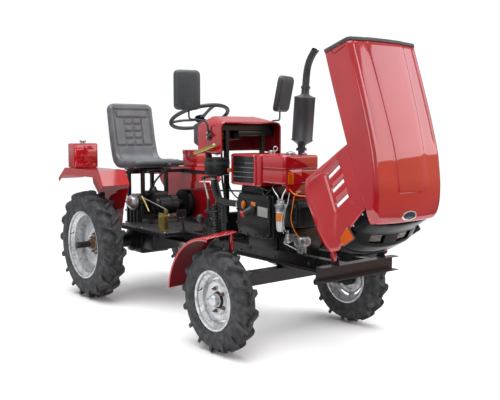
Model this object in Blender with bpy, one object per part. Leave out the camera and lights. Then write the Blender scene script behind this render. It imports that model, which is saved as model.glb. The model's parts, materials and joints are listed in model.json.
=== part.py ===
"""Small belt-drive farm tractor with its hood tipped open, as separate closed solids. Metres, +Z up, +X forward.

Every piece is drawn in the chassis frame, whose zero is on the ground under the rear axle, and is parented to the
empty of the body that it moves with. The hood is drawn shut and its empty turns it open.
"""

import math

import bmesh
import bpy
from mathutils import Matrix, Vector

GAP = 0.0003                 # between two pieces that touch
REAR_AXLE_X = -1.0084         # rear axle, seen from the middle of the whole tractor

# Wheels
WHEELBASE = 1.609
FRONT_WHEEL = dict(r=0.2875, width=0.122, side=0.507, bead=0.1524, lip=0.1665, rim=0.092, wall=0.005)
REAR_WHEEL = dict(r=0.387, width=0.165, side=0.464, bead=0.2285, lip=0.2425, rim=0.150, wall=0.006)
TYRE_STEPS = 32
RIM_STEPS = 24
KINGPIN_Y = 0.408
SPINDLE_R = 0.0125
SHAFT_R = 0.022
SHAFT_END_Y = 0.585
REAR_DISC_Y = 0.425          # inner face of the rear wheel disc
HOUSING_END_Y = 0.360

# Frame
RAIL_TOP = 0.521
RAIL_DEEP = 0.078
RAIL_Y = 0.115               # outer edge of the rail's flanges
RAIL_WIDE = 0.040
PLATE = 0.005                # rolled channel thickness
RAIL_BACK = 0.266
CHANNEL_X = 2.183            # front edge of the cross channel's flanges
CHANNEL_WIDE = 0.050
CHANNEL_HALF = 0.2855
BEAM = dict(low=0.340, high=0.415, wide=0.070, half=0.390)
SLEEVE_R = 0.026
SLEEVE_LOW = 0.325
SLEEVE_HIGH = 0.430
PIN_R = 0.014
PIN_BORE_R = 0.0148
ARM_BACK = 0.130             # steering arm, behind the king pin
ARM_TOP = 0.308
TIE_PIN_R = 0.006

# Engine and belt drive
RADIATOR_LOW = 0.880
PULLEYS = dict(flywheel=(1.450, 0.665, 0.150), clutch_pulley=(0.190, 0.655, 0.095))   # X, Z and groove radius
PULLEY_STEPS = 28
BELT = dict(low=0.192, high=0.230, thick=0.009, steps=14)   # along Y, and through the belt

# Bodywork
FRONT_FENDER = dict(x=WHEELBASE - 0.004, z=0.262, r=0.368, rise=0.022, inner=0.392, outer=0.600, sheet=0.002,
                    arc=88, steps=11)
PLATFORM = dict(back=0.05, front=0.715, half=0.295, plate=0.004, lip=0.026)
SHEET = 0.003
FENDER_OUT = 0.500
FENDER_TOP = 2 * REAR_WHEEL["r"] + 0.149
HOOD_PIVOT = (2.163, 0.55)   # X and Z of the hinge
HOOD_OPEN = math.radians(59.6)
HOOD_HALF = 0.246
HOOD_WALL = 0.0025
NOSE_BACK = 2.030
NOSE_HALF = HOOD_HALF - HOOD_WALL - SHEET - 2 * GAP
# Y, X, share of the set back that applies, rise of the top edge
NOSE_PLAN = [(0, 2.196, 1, 0), (0.100, 2.188, 0.95, 0), (0.150, 2.178, 0.85, 0.002), (0.195, 2.160, 0.65, 0.005),
             (0.224, 2.138, 0.4, 0.010), (NOSE_HALF, 2.095, 0, 0.012)]
# Z, set back
NOSE_LEVELS = [(0.600, 0.014), (0.700, 0), (0.750, 0.003), (0.763, 0.014), (0.803, 0.044), (0.884, 0.060)]
LAMP_PROUD = 0.0148          # turn lamps, out from the panel's inner face
LAMP_Y = (0.0485, 0.1485)
LAMP_Z = (0.7635, 0.8025)
HINGE = dict(arm=(0.188, 0.200), ear=(0.170, 0.177))   # along Y
# X, lower Z, upper Z, lean
SLOTS = [(1.793, 0.765, 0.857, -0.011), (1.865, 0.755, 0.848, -0.012), (1.941, 0.744, 0.838, -0.018)]
DASH = dict(back=1.004, front=1.262, low=1.055, high=1.250, shoulder=1.232, ridge=1.289, ridge_x=1.084, hump=0.162,
            half=0.236, wall=0.0025)
MIRROR = dict(x=1.110, y=0.368, low=1.320, high=1.556, half=0.080, thick=0.019, toe=math.radians(-17),
              tip=dict(right=0, left=math.radians(12)))
WHEEL_HUB = Vector((0.700, 0.0, 1.289))
COLUMN_LEAN = 0.3925         # the steering wheel leans back by this
STEER_R = 0.195

RED = (0.36, 0.012, 0.016, 1)
BLACK = (0.012, 0.012, 0.014, 1)
RUBBER = (0.02, 0.021, 0.023, 1)
SILVER = (0.45, 0.46, 0.47, 1)
DARK = (0.03, 0.033, 0.037, 1)
AMBER = (0.8, 0.25, 0.02, 1)
CLEAR = (0.6, 0.62, 0.64, 1)
ZINC = (0.45, 0.38, 0.2, 1)


def clear_scene():
    for found in list(bpy.data.objects):
        bpy.data.objects.remove(found, do_unlink=True)


def empty(name, parent=None, at=(0, 0, 0)):
    """An empty at a chassis-frame place; pieces of its body are parented to it."""
    made = bpy.data.objects.new(name, None)
    bpy.context.scene.collection.objects.link(made)
    made.parent = parent
    made["at"] = at
    origin = Vector(parent["at"]) if parent else Vector((0, 0, 0))
    made.location = Vector(at) - origin
    return made


def finish(name, bm, body, colour, metal=0.0, rough=0.4, smooth=None):
    """Turns a bmesh in the chassis frame into an object of that body, with a material of its own."""
    bmesh.ops.remove_doubles(bm, verts=bm.verts, dist=1e-6)
    bmesh.ops.recalc_face_normals(bm, faces=bm.faces)
    bmesh.ops.translate(bm, vec=-Vector(body["at"]), verts=bm.verts)
    mesh = bpy.data.meshes.new(name)
    bm.to_mesh(mesh)
    bm.free()
    if smooth is not None:
        mesh.shade_smooth()
        mesh.set_sharp_from_angle(angle=smooth)
    made = bpy.data.objects.new(name, mesh)
    bpy.context.scene.collection.objects.link(made)
    made.parent = body
    if colour:
        paint = bpy.data.materials.new(name + "_finish")
        paint.use_nodes = True
        shader = paint.node_tree.nodes["Principled BSDF"]
        shader.inputs["Base Color"].default_value = colour
        shader.inputs["Metallic"].default_value = metal
        shader.inputs["Roughness"].default_value = rough
        mesh.materials.append(paint)
        made.color = colour
    return made


def boolean(target, kind, *others):
    """Joins hidden guides to a piece (UNION), or cuts them out of it (DIFFERENCE)."""
    for other in others:
        step = target.modifiers.new(kind.lower() + "_" + other.name, "BOOLEAN")
        step.operation = kind
        step.solver = "EXACT"
        step.object = other
        other.hide_render = True
        other.display_type = "WIRE"
        other.hide_viewport = False
    return target


def prism(name, outline, axis, low, high, body, colour=None, far=None, **look):
    """An outline in the two other axes (in X, Y, Z order), carried from low to high, where it may become `far`."""
    place = {"X": lambda d, a, b: (d, a, b), "Y": lambda d, a, b: (a, d, b), "Z": lambda d, a, b: (a, b, d)}[axis]
    bm = bmesh.new()
    start = [bm.verts.new(place(low, a, b)) for a, b in outline]
    end = [bm.verts.new(place(high, a, b)) for a, b in far or outline]
    bm.faces.new(start[::-1])
    bm.faces.new(end)
    for k in range(len(start)):
        bm.faces.new((start[k - 1], start[k], end[k], end[k - 1]))
    return finish(name, bm, body, colour, **look)


def loft(name, rings, body, colour=None, **look):
    """Closed body through a row of matching rings of points, the first and the last capped."""
    bm = bmesh.new()
    grid = [[bm.verts.new(point) for point in ring] for ring in rings]
    count = len(grid[0])
    for one, two in zip(grid, grid[1:]):
        for k in range(count):
            bm.faces.new((one[k], one[(k + 1) % count], two[(k + 1) % count], two[k]))
    bm.faces.new(grid[0][::-1])
    bm.faces.new(grid[-1])
    return finish(name, bm, body, colour, **look)


def box(name, x, y, z, body, colour=None, **look):
    outline = [(x[0], y[0]), (x[1], y[0]), (x[1], y[1]), (x[0], y[1])]
    return prism(name, outline, "Z", z[0], z[1], body, colour, **look)


def rounded(piece, radius, segments=2, angle=30):
    step = piece.modifiers.new("round", "BEVEL")
    step.width = radius
    step.segments = segments
    step.limit_method = "ANGLE"
    step.angle_limit = math.radians(angle)
    step.use_clamp_overlap = True
    return piece


def turned(name, profile, centre, axis, steps, body, colour=None, first=0.0, **look):
    """A profile of (radius, distance along the axis) pairs, spun round the axis through the centre.

    The first section points down, or is turned from there by the angle `first`.
    """
    axis = Vector(axis).normalized()
    side = Vector((0, 0, -1)) if abs(axis.z) < 0.5 else Vector((0, 1, 0))
    side = (side - axis * side.dot(axis)).normalized()
    side = Matrix.Rotation(first, 3, axis) @ side
    bm = bmesh.new()
    verts = [bm.verts.new(Vector(centre) + side * r + axis * d) for r, d in profile]
    edges = [bm.edges.new(pair) for pair in zip(verts, verts[1:])]
    if profile[0][0] > 0:
        edges.append(bm.edges.new((verts[-1], verts[0])))
    bmesh.ops.spin(bm, geom=verts + edges, cent=centre, axis=axis, angle=2 * math.pi, steps=steps, use_merge=True)
    look.setdefault("smooth", math.radians(35))
    return finish(name, bm, body, colour, **look)


def rod(name, start, end, radius, steps, body, colour=None, **look):
    """A plain round bar from start to end."""
    start, end = Vector(start), Vector(end)
    length = (end - start).length
    return turned(name, [(0, 0), (radius, 0), (radius, length), (0, length)], start, end - start, steps, body,
                  colour, **look)


def swept(name, path, body, colour=None, sides=10, **look):
    """A round section carried along (x, y, z, radius) points, closed at both ends."""
    bm = bmesh.new()
    points = [Vector(p[:3]) for p in path]
    tangents = [(b - a).normalized() for a, b in zip(points, points[1:])]
    tangents = [tangents[0]] + [(a + b).normalized() for a, b in zip(tangents, tangents[1:])] + [tangents[-1]]
    normal = tangents[0].orthogonal().normalized()
    rings = []
    for place, tangent, (_, _, _, radius) in zip(points, tangents, path):
        normal = (normal - tangent * normal.dot(tangent)).normalized()
        other = tangent.cross(normal)
        turns = [2 * math.pi * k / sides for k in range(sides)]
        rings.append([bm.verts.new(place + radius * (normal * math.cos(t) + other * math.sin(t))) for t in turns])
    for a, b in zip(rings, rings[1:]):
        for k in range(sides):
            bm.faces.new((a[k], a[(k + 1) % sides], b[(k + 1) % sides], b[k]))
    bm.faces.new(rings[0][::-1])
    bm.faces.new(rings[-1])
    look.setdefault("smooth", math.radians(40))
    return finish(name, bm, body, colour, **look)


def curve_points(path, per_span=4):
    """Points on a smooth curve (Catmull-Rom) through the path's own points."""
    ends = [tuple(2 * a - b for a, b in zip(path[0], path[1]))]
    last = [tuple(2 * a - b for a, b in zip(path[-1], path[-2]))]
    full = ends + list(path) + last
    found = []
    for p0, p1, p2, p3 in zip(full, full[1:], full[2:], full[3:]):
        for k in range(per_span):
            t = k / per_span
            found.append(tuple(
                0.5 * (2 * b + (c - a) * t + (2 * a - 5 * b + 4 * c - d) * t * t + (3 * b - a - 3 * c + d) * t ** 3)
                for a, b, c, d in zip(p0, p1, p2, p3)))
    return found + [path[-1]]


def both_sides():
    return (("right", -1), ("left", 1))


# ---------------------------------------------------------------- wheels

def tyre(name, wheel, centre, body):
    """A plain tyre whose crown stands as high as its lugs, and which rests on one of its flat facets."""
    corner = math.cos(math.pi / TYRE_STEPS)
    half, r = wheel["width"] / 2, wheel["r"] / corner
    bead = (wheel["bead"] + GAP) / corner
    seat = wheel["rim"] / 2 - 0.004 - GAP
    deep = r - bead
    profile = [
        (bead, -seat), (bead + 0.16 * deep, -seat), (bead + 0.45 * deep, -half), (bead + 0.72 * deep, -half),
        (bead + 0.93 * deep, -half * 0.90), (r, -half * 0.62), (r, half * 0.62), (bead + 0.93 * deep, half * 0.90),
        (bead + 0.72 * deep, half), (bead + 0.45 * deep, half), (bead + 0.16 * deep, seat), (bead, seat)]
    return turned(name, profile, centre, (0, 1, 0), TYRE_STEPS, body, RUBBER, math.pi / TYRE_STEPS, rough=0.85)


def front_rim(name, wheel, centre, out, body):
    """Rim, dished disc and hub with a blind bore for the spindle; out is +1 on the left."""
    edge, lip, seat = wheel["rim"] / 2, wheel["lip"], wheel["bead"]
    inner = seat - wheel["wall"]
    bore = SPINDLE_R + 0.0007
    profile = [
        (0, 0.028), (bore, 0.028), (bore, -0.037), (0.034, -0.037), (0.040, -0.012), (inner, -0.004),
        (inner, -edge), (lip, -edge), (lip, -edge + 0.004), (seat, -edge + 0.004), (seat, edge - 0.004),
        (lip, edge - 0.004), (lip, edge), (inner, edge), (inner, 0.002), (0.046, 0.002), (0.034, 0.018),
        (0.022, 0.036), (0, 0.039)]
    return turned(name, profile, centre, (0, out, 0), RIM_STEPS, body, SILVER, metal=0.6, rough=0.4)


def rear_rim(name, wheel, centre, out, body):
    """Rim and disc, with a hole that the axle shaft passes through."""
    edge, lip, seat = wheel["rim"] / 2, wheel["lip"], wheel["bead"]
    inner = seat - wheel["wall"]
    hole = SHAFT_R + GAP
    face = REAR_DISC_Y - wheel["side"]
    profile = [
        (hole, face), (0.09, face), (inner, face - 0.004), (inner, -edge), (lip, -edge), (lip, -edge + 0.004),
        (seat, -edge + 0.004), (seat, edge - 0.004), (lip, edge - 0.004), (lip, edge), (inner, edge),
        (inner, face + 0.004), (0.09, face + 0.008), (hole, face + 0.008)]
    return turned(name, profile, centre, (0, out, 0), RIM_STEPS, body, SILVER, metal=0.6, rough=0.4)


def rear_wheel(side, out, datum):
    centre = (0, out * REAR_WHEEL["side"], REAR_WHEEL["r"])
    body = empty("wheel_rear_" + side, datum, centre)
    tyre("tyre_rear_" + side, REAR_WHEEL, centre, body)
    rear_rim("rim_rear_" + side, REAR_WHEEL, centre, out, body)
    profile = [
        (0, HOUSING_END_Y - 0.03), (SHAFT_R, HOUSING_END_Y - 0.03), (SHAFT_R, REAR_DISC_Y - 0.014),
        (0.062, REAR_DISC_Y - 0.012), (0.062, REAR_DISC_Y - GAP), (SHAFT_R, REAR_DISC_Y - GAP),
        (SHAFT_R, SHAFT_END_Y), (0, SHAFT_END_Y)]
    turned("axle_shaft_" + side, profile, (0, 0, REAR_WHEEL["r"]), (0, out, 0), RIM_STEPS, body, BLACK, metal=0.7)


def front_wheel(side, out, knuckle):
    centre = (WHEELBASE, out * FRONT_WHEEL["side"], FRONT_WHEEL["r"])
    body = empty("wheel_front_" + side, knuckle, centre)
    tyre("tyre_front_" + side, FRONT_WHEEL, centre, body)
    front_rim("rim_front_" + side, FRONT_WHEEL, centre, out, body)


# ---------------------------------------------------------------- front axle and steering

def knuckle(side, out, datum):
    """King pin, stub axle, steering arm and fender post, all one forging, with the fender on it."""
    axle_z = FRONT_WHEEL["r"]
    body = empty("knuckle_pivot_" + side, datum, (WHEELBASE, out * KINGPIN_Y, axle_z))
    fender = FRONT_FENDER
    half_step = math.radians(fender["arc"] / fender["steps"] / 2)
    level = fender["z"] - fender["sheet"] - GAP + fender["r"] * math.cos(half_step)
    slope = fender["rise"] * math.cos(half_step) / (fender["outer"] - fender["inner"])
    # radius and height of the turned part: the pin in its sleeve, its collar and the boss over it
    profile = [
        (0, SLEEVE_LOW - 0.02), (PIN_R, SLEEVE_LOW - 0.02), (PIN_R, SLEEVE_HIGH + GAP), (SLEEVE_R, SLEEVE_HIGH + GAP),
        (SLEEVE_R, 0.447), (0.021, 0.452), (0.025, 0.500), (0.025, 0.535), (0.018, 0.545), (0, 0.545)]
    main = turned("knuckle_" + side, profile, (WHEELBASE, out * KINGPIN_Y, 0), (0, 0, 1), 24, body, BLACK)
    y = sorted((out * (KINGPIN_Y - 0.022), out * (KINGPIN_Y + 0.024)))
    carrier = box("carrier_" + side, (WHEELBASE - 0.023, WHEELBASE + 0.023), y, (0.258, SLEEVE_LOW - GAP), body)
    spindle = rod("spindle_" + side, (WHEELBASE, out * (KINGPIN_Y + 0.010), axle_z),
                  (WHEELBASE, out * (FRONT_WHEEL["side"] + 0.022), axle_z), SPINDLE_R, 20, body)
    y = sorted((out * (KINGPIN_Y - 0.012), out * (KINGPIN_Y + 0.012)))
    arm = box("arm_" + side, (WHEELBASE - ARM_BACK - 0.014, WHEELBASE - 0.01), y, (0.296, ARM_TOP), body)
    pin = rod("arm_pin_" + side, (WHEELBASE - ARM_BACK, out * KINGPIN_Y, 0.300),
              (WHEELBASE - ARM_BACK, out * KINGPIN_Y, 0.330), TIE_PIN_R, 12, body)
    # post up to the fender, bent over under the sheet: its front view
    under = [(y, level + slope * (fender["outer"] - y)) for y in (0.402, 0.470)]
    bend = [(0.402, 0.510), (0.414, 0.510), (0.414, under[0][1] - 0.012), (0.470, under[1][1] - 0.006), under[1],
            under[0]]
    x = WHEELBASE - 0.019
    post = prism("post_" + side, [(out * y, z) for y, z in bend], "X", x - 0.012, x + 0.012, body)
    boolean(main, "UNION", carrier, spindle, arm, pin, post)
    front_fender(side, out, body)
    return body


def front_fender(side, out, body):
    """A rolled sheet: flat facets along an arc, the first one level on top; its inner edge is rolled wider."""
    fender = FRONT_FENDER
    step = math.radians(fender["arc"] / fender["steps"])
    turns = [step * (k - 0.5) for k in range(fender["steps"] + 1)]

    def section(r):
        """The sheet's edge: its outer skin to the back, then its inner skin to the front."""
        skins = [[(fender["x"] - q * math.sin(t), fender["z"] + q * math.cos(t)) for t in turns]
                 for q in (r, r - fender["sheet"])]
        return skins[0] + skins[1][::-1]

    prism("fender_front_" + side, section(fender["r"]), "Y", out * fender["outer"], out * fender["inner"], body, RED,
          far=section(fender["r"] + fender["rise"]), rough=0.25, smooth=math.radians(20))


def tie_rod(parent):
    """The rod between the two steering arms; with arms of one length it stays square to the tractor."""
    x = WHEELBASE - ARM_BACK
    body = empty("tie_rod_end", parent, (x, -KINGPIN_Y, ARM_TOP))
    ring = [(TIE_PIN_R + 0.0007, 0), (0.016, 0), (0.016, 0.018), (TIE_PIN_R + 0.0007, 0.018)]
    main = turned("tie_rod", ring, (x, -KINGPIN_Y, ARM_TOP + GAP), (0, 0, 1), 16, body, BLACK)
    far = turned("tie_rod_far_eye", ring, (x, KINGPIN_Y, ARM_TOP + GAP), (0, 0, 1), 16, body)
    z = ARM_TOP + GAP + 0.009
    bar = rod("tie_rod_bar", (x, -KINGPIN_Y + 0.012, z), (x, KINGPIN_Y - 0.012, z), 0.008, 10, body)
    boolean(main, "UNION", far, bar)


def front_axle(datum):
    half = BEAM["wide"] / 2
    beam = box("front_axle_beam", (WHEELBASE - half, WHEELBASE + half), (-BEAM["half"], BEAM["half"]),
               (BEAM["low"], BEAM["high"]), datum, BLACK)
    for side, out in both_sides():
        ring = [(PIN_BORE_R, SLEEVE_LOW), (SLEEVE_R, SLEEVE_LOW), (SLEEVE_R, SLEEVE_HIGH), (PIN_BORE_R, SLEEVE_HIGH)]
        sleeve = turned("sleeve_" + side, ring, (WHEELBASE, out * KINGPIN_Y, 0), (0, 0, 1), 32, datum)
        boolean(beam, "UNION", sleeve)
    low = BEAM["high"] - 0.005
    high = RAIL_TOP - RAIL_DEEP - GAP
    outline = [(-0.12, high), (-0.05, low), (0.05, low), (0.12, high)]
    boolean(beam, "UNION", prism("axle_pivot_bracket", outline, "X", WHEELBASE - 0.05, WHEELBASE + 0.07, datum))


# ---------------------------------------------------------------- frame

def channel(open_to, back, top, deep, wide):
    """A C section: the corner points of a channel whose web is at back and whose flanges reach out to open_to."""
    inside = back + math.copysign(PLATE, open_to - back)
    low = top - deep
    return [(back, low), (open_to, low), (open_to, low + PLATE), (inside, low + PLATE), (inside, top - PLATE),
            (open_to, top - PLATE), (open_to, top), (back, top)]


def frame(datum):
    web_x = CHANNEL_X - CHANNEL_WIDE
    for side, out in both_sides():
        outline = channel(out * RAIL_Y, out * (RAIL_Y - RAIL_WIDE), RAIL_TOP, RAIL_DEEP, RAIL_WIDE)
        prism("rail_" + side, outline, "X", RAIL_BACK, web_x - GAP, datum, BLACK)
    outline = channel(CHANNEL_X, web_x, RAIL_TOP, RAIL_DEEP, CHANNEL_WIDE)
    cross = prism("front_cross_channel", outline, "Y", -CHANNEL_HALF, CHANNEL_HALF, datum, BLACK)
    for side, out in both_sides():
        ear_y = sorted((out * HINGE["ear"][0], out * HINGE["ear"][1]))
        pivot_x, pivot_z = HOOD_PIVOT
        outline = [(pivot_x - 0.040, RAIL_TOP - 0.003), (CHANNEL_X, RAIL_TOP - 0.003), (pivot_x + 0.016, pivot_z - 0.012),
                   (pivot_x + 0.016, pivot_z + 0.012), (pivot_x - 0.012, pivot_z + 0.016)]
        ear = prism("hinge_ear_" + side, outline, "Y", ear_y[0], ear_y[1], datum)
        pin = rod("hinge_pin_" + side, (pivot_x, out * HINGE["ear"][0], pivot_z),
                  (pivot_x, out * (HINGE["arm"][1] + 0.004), pivot_z), 0.006, 16, datum)
        boolean(cross, "UNION", ear, pin)


def platform(datum):
    """Checkered foot plate on the rails, notched round the gearbox, with its two side edges turned down."""
    p = PLATFORM
    low = RAIL_TOP + GAP
    half, back, front = p["half"], p["back"], p["front"]
    notch_x, notch_y, cut = 0.270, 0.165, 0.045
    outline = [(back, -half), (front - cut, -half), (front, -half + cut), (front, half - cut), (front - cut, half),
               (back, half), (back, notch_y), (notch_x, notch_y), (notch_x, -notch_y), (back, -notch_y)]
    plate = prism("platform", outline, "Z", low, low + p["plate"], datum, DARK, rough=0.6)
    for side, out in both_sides():
        y = sorted((out * half, out * (half - p["plate"])))
        lip = box("platform_lip_" + side, (back, front - cut), y, (low + p["plate"] - p["lip"], low + 0.002), datum)
        boolean(plate, "UNION", lip)


def gearbox(datum):
    main = box("gearbox", (-0.120, 0.110), (-0.120, 0.120), (0.290, 0.700), datum, BLACK, rough=0.6)
    nose = box("gearbox_nose", (0.100, RAIL_BACK - GAP), (-0.115, 0.115), (0.330, 0.560), datum)
    boss = rod("clutch_boss", (PULLEYS["clutch_pulley"][0], 0.0, PULLEYS["clutch_pulley"][1]),
               (PULLEYS["clutch_pulley"][0], 0.120, PULLEYS["clutch_pulley"][1]), 0.070, 20, datum)
    tower = box("shift_tower", (0.020, 0.200), (-0.065, 0.065), (0.690, 0.790), datum)
    lever = swept("gear_lever", [(0.150, -0.040, 0.780, 0.008), (0.160, -0.045, 0.830, 0.008),
                                 (0.210, -0.060, 0.868, 0.008), (0.222, -0.063, 0.872, 0.016),
                                 (0.250, -0.070, 0.880, 0.014)], datum, sides=8)
    boolean(main, "UNION", nose, boss, tower, lever)
    for side, out in both_sides():
        z = REAR_WHEEL["r"]
        bore = SHAFT_R + 0.0008
        start = 0.120 + GAP
        profile = [(0, start), (0.085, start), (0.085, 0.150), (0.052, 0.175), (0.048, HOUSING_END_Y - 0.02),
                   (0.058, HOUSING_END_Y - 0.015), (0.058, HOUSING_END_Y), (bore, HOUSING_END_Y),
                   (bore, HOUSING_END_Y - 0.034), (0, HOUSING_END_Y - 0.034)]
        turned("axle_housing_" + side, profile, (0, 0, z), (0, out, 0), 24, datum, BLACK, rough=0.6)
    # drawbar: a plate under a plate, bolted to the gearbox's back
    outline = [(-0.120 - GAP, 0.44), (-0.145, 0.44), (-0.145, 0.402), (-0.300, 0.402), (-0.300, 0.390),
               (-0.145, 0.390), (-0.145, 0.352), (-0.300, 0.352), (-0.300, 0.340), (-0.120 - GAP, 0.340)]
    prism("drawbar", outline, "Y", -0.045, 0.045, datum, BLACK)


def rear_fenders(datum):
    skirt_in = PLATFORM["half"] + GAP
    for side, out in both_sides():
        # side view of the top sheet: rear tip, rear break, front break, front tip
        top = [(x, FENDER_TOP - drop) for x, drop in ((-0.478, 0.085), (-0.356, 0), (0.200, 0), (0.262, 0.103))]
        low = [(x + dx, z - 0.003) for (x, z), dx in zip(top, (0.001, 0.001, -0.002, -0.003))]
        y = sorted((out * skirt_in, out * FENDER_OUT))
        sheet = prism("fender_rear_" + side, top + low[::-1], "Y", y[0], y[1], datum, RED, rough=0.25)
        edge = [(x, FENDER_TOP - drop) for x, drop in (
            (-0.477, 0.085), (-0.356, 0.0005), (0.200, 0.0005), (0.261, 0.102), (0.232, 0.123), (0.195, 0.108),
            (0.145, 0.055), (0.100, 0.051), (-0.380, 0.055), (-0.463, 0.108))]
        y = sorted((out * FENDER_OUT, out * (FENDER_OUT - SHEET)))
        flange = prism("fender_flange_" + side, edge, "Y", y[0], y[1], datum)
        foot = RAIL_TOP - 0.018
        skirt_outline = [(-0.340, FENDER_TOP - 0.0005), (0.199, FENDER_TOP - 0.0005), (0.260, FENDER_TOP - 0.101),
                         (0.170, 0.640), (0.140, foot), (0.060, foot), (-0.120, 0.640), (-0.300, FENDER_TOP - 0.123)]
        y = sorted((out * skirt_in, out * (skirt_in + SHEET)))
        skirt = prism("fender_skirt_" + side, skirt_outline, "Y", y[0], y[1], datum)
        boolean(sheet, "UNION", flange, skirt)
    top = FENDER_TOP + 0.182
    tank = box("side_tank", (-0.312, -0.190), (-0.495, -0.305), (FENDER_TOP + GAP, top), datum, RED, rough=0.25)
    cap = rod("side_tank_cap", (-0.251, -0.400, top - 0.015), (-0.251, -0.400, top + 0.023), 0.024, 16, datum)
    boolean(rounded(tank, 0.012), "UNION", cap)
    top = FENDER_TOP + 0.127
    chest = box("toolbox", (0.000, 0.190), (0.320, 0.450), (FENDER_TOP + GAP, top), datum, RED, rough=0.25)
    rounded(chest, 0.008, 1)
    foot = RAIL_TOP + GAP + PLATFORM["plate"] + GAP
    guard = [(-0.256, 0.795), (0.402, 0.820), (0.480, 0.694), (0.452, 0.590), (0.400, foot), (-0.094, foot),
             (-0.105, 0.580), (-0.130, 0.650), (-0.180, 0.725)]
    prism("belt_guard", guard, "Y", PLATFORM["half"] - 0.006, PLATFORM["half"] - 0.003, datum, RED, rough=0.25)


def seat(datum):
    """Moulded seat: pan and back in one, on a frame that stands on the gearbox."""
    # side view, round from the front edge: underside, back of the backrest, its top, its front, the pan
    outline = [(0.165, 0.930), (0.020, 0.918), (-0.120, 0.922), (-0.188, 0.960), (-0.232, 1.080), (-0.286, 1.380),
               (-0.270, 1.403), (-0.241, 1.399), (-0.194, 1.150), (-0.145, 1.010), (-0.080, 0.975), (0.160, 0.985),
               (0.180, 0.960)]
    rounded(prism("seat", outline, "Y", -0.192, 0.192, datum, DARK, rough=0.55), 0.012, 1, 50)
    plate = box("seat_frame", (-0.130, 0.150), (-0.120, 0.120), (0.9034, 0.9177), datum, BLACK)
    legs = []
    for side, out in both_sides():
        for end, x in (("back", -0.100), ("front", 0.105)):
            y = sorted((out * 0.088, out * 0.112))
            legs.append(box("seat_leg_%s_%s" % (side, end), (x - 0.012, x + 0.012), y, (0.700 + GAP, 0.905), datum))
    reach = PLATFORM["half"]
    crossbar = box("fender_crossbar", (0.020, 0.060), (-reach, reach), (0.882, 0.906), datum)
    rail = box("fender_rail", (0.020, 0.370), (reach - 0.008, reach), (0.874, 0.902), datum)
    boolean(plate, "UNION", crossbar, rail, *legs)


# ---------------------------------------------------------------- dash and steering wheel

def dash_block(name, wall, open_front, datum):
    """The cowl's outside, or with a wall its room: a side view carried across, cut to the humped front view."""
    d = DASH
    back, front, low = d["back"] + wall, d["front"] + open_front, d["low"] - (0.1 if wall else 0)
    side_view = [(back, low + 0.015), (front, low), (front, d["high"] - wall), (d["ridge_x"], d["ridge"] - wall),
                 (back, d["shoulder"] - 0.030 - wall)]
    half, hump = d["half"] - wall, d["hump"] - wall / 2
    front_view = [(-half, 0.9), (half, 0.9), (half, d["shoulder"] - wall), (hump, d["ridge"] - wall),
                  (-hump, d["ridge"] - wall), (-half, d["shoulder"] - wall)]
    block = prism(name, side_view, "Y", -half - 0.01, half + 0.01, datum, RED, rough=0.25)
    return boolean(block, "INTERSECT", prism(name + "_front_view", front_view, "X", 0.9, 1.4, datum))


def dash(datum):
    d = DASH
    boolean(dash_block("dash_cowl", 0, 0, datum), "DIFFERENCE", dash_block("dash_room", d["wall"], 0.05, datum))
    top = d["shoulder"] - d["wall"] - GAP
    x = (1.178, 1.202)
    bar = box("dash_frame", x, (-d["half"] + d["wall"] + GAP, d["half"] - d["wall"] - GAP), (top - 0.030, top), datum,
              BLACK)
    for side, out in both_sides():
        y = sorted((out * 0.1275, out * 0.1525))
        post = box("dash_post_" + side, x, y, (RAIL_TOP + GAP, top - 0.01), datum)
        y = sorted((out * 0.080, out * 0.1525))
        foot = box("dash_foot_" + side, (1.165, 1.215), y, (RAIL_TOP + GAP, RAIL_TOP + 0.008), datum)
        boolean(bar, "UNION", post, foot)
    for side, out in both_sides():
        mirror(side, out, datum)


def mirror(side, out, datum):
    """A bent arm clamped to the dash's side, with the mirror head on its end, turned towards the driver."""
    clamp_y = DASH["half"] + GAP
    m = MIRROR
    along = (math.sin(m["toe"]), out * math.cos(m["toe"]))
    across = (math.cos(m["toe"]), -out * math.sin(m["toe"]))
    corners = [(-1, -1), (1, -1), (1, 1), (-1, 1)]
    plan = [(m["x"] - along[0] * m["half"] * a + across[0] * m["thick"] * b,
             out * m["y"] + along[1] * m["half"] * a + across[1] * m["thick"] * b) for a, b in corners]
    head = prism("mirror_" + side, plan, "Z", m["low"], m["high"], datum, DARK, rough=0.5)
    foot = Matrix.Translation((m["x"], out * m["y"], m["low"]))
    tip = Matrix.Rotation(m["tip"][side], 4, Vector((across[1], -across[0], 0)) * -1)
    head.data.transform(foot @ tip @ foot.inverted())
    path = [(1.150, 0.252, 1.150), (1.150, 0.254, 1.215), (1.140, 0.262, 1.250), (1.120, 0.300, 1.262),
            (1.111, m["y"] - 0.017, 1.272), (m["x"], m["y"] - 0.010, 1.300), (m["x"], m["y"] - 0.010, m["low"] + 0.02)]
    arm = swept("mirror_arm_" + side, [(x, out * y, z, 0.006) for x, y, z in path], datum, sides=8)
    clamp = box("mirror_clamp_" + side, (1.138, 1.162), sorted((out * clamp_y, out * 0.257)), (1.145, 1.195), datum)
    boolean(rounded(head, 0.014), "UNION", arm, clamp)


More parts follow.
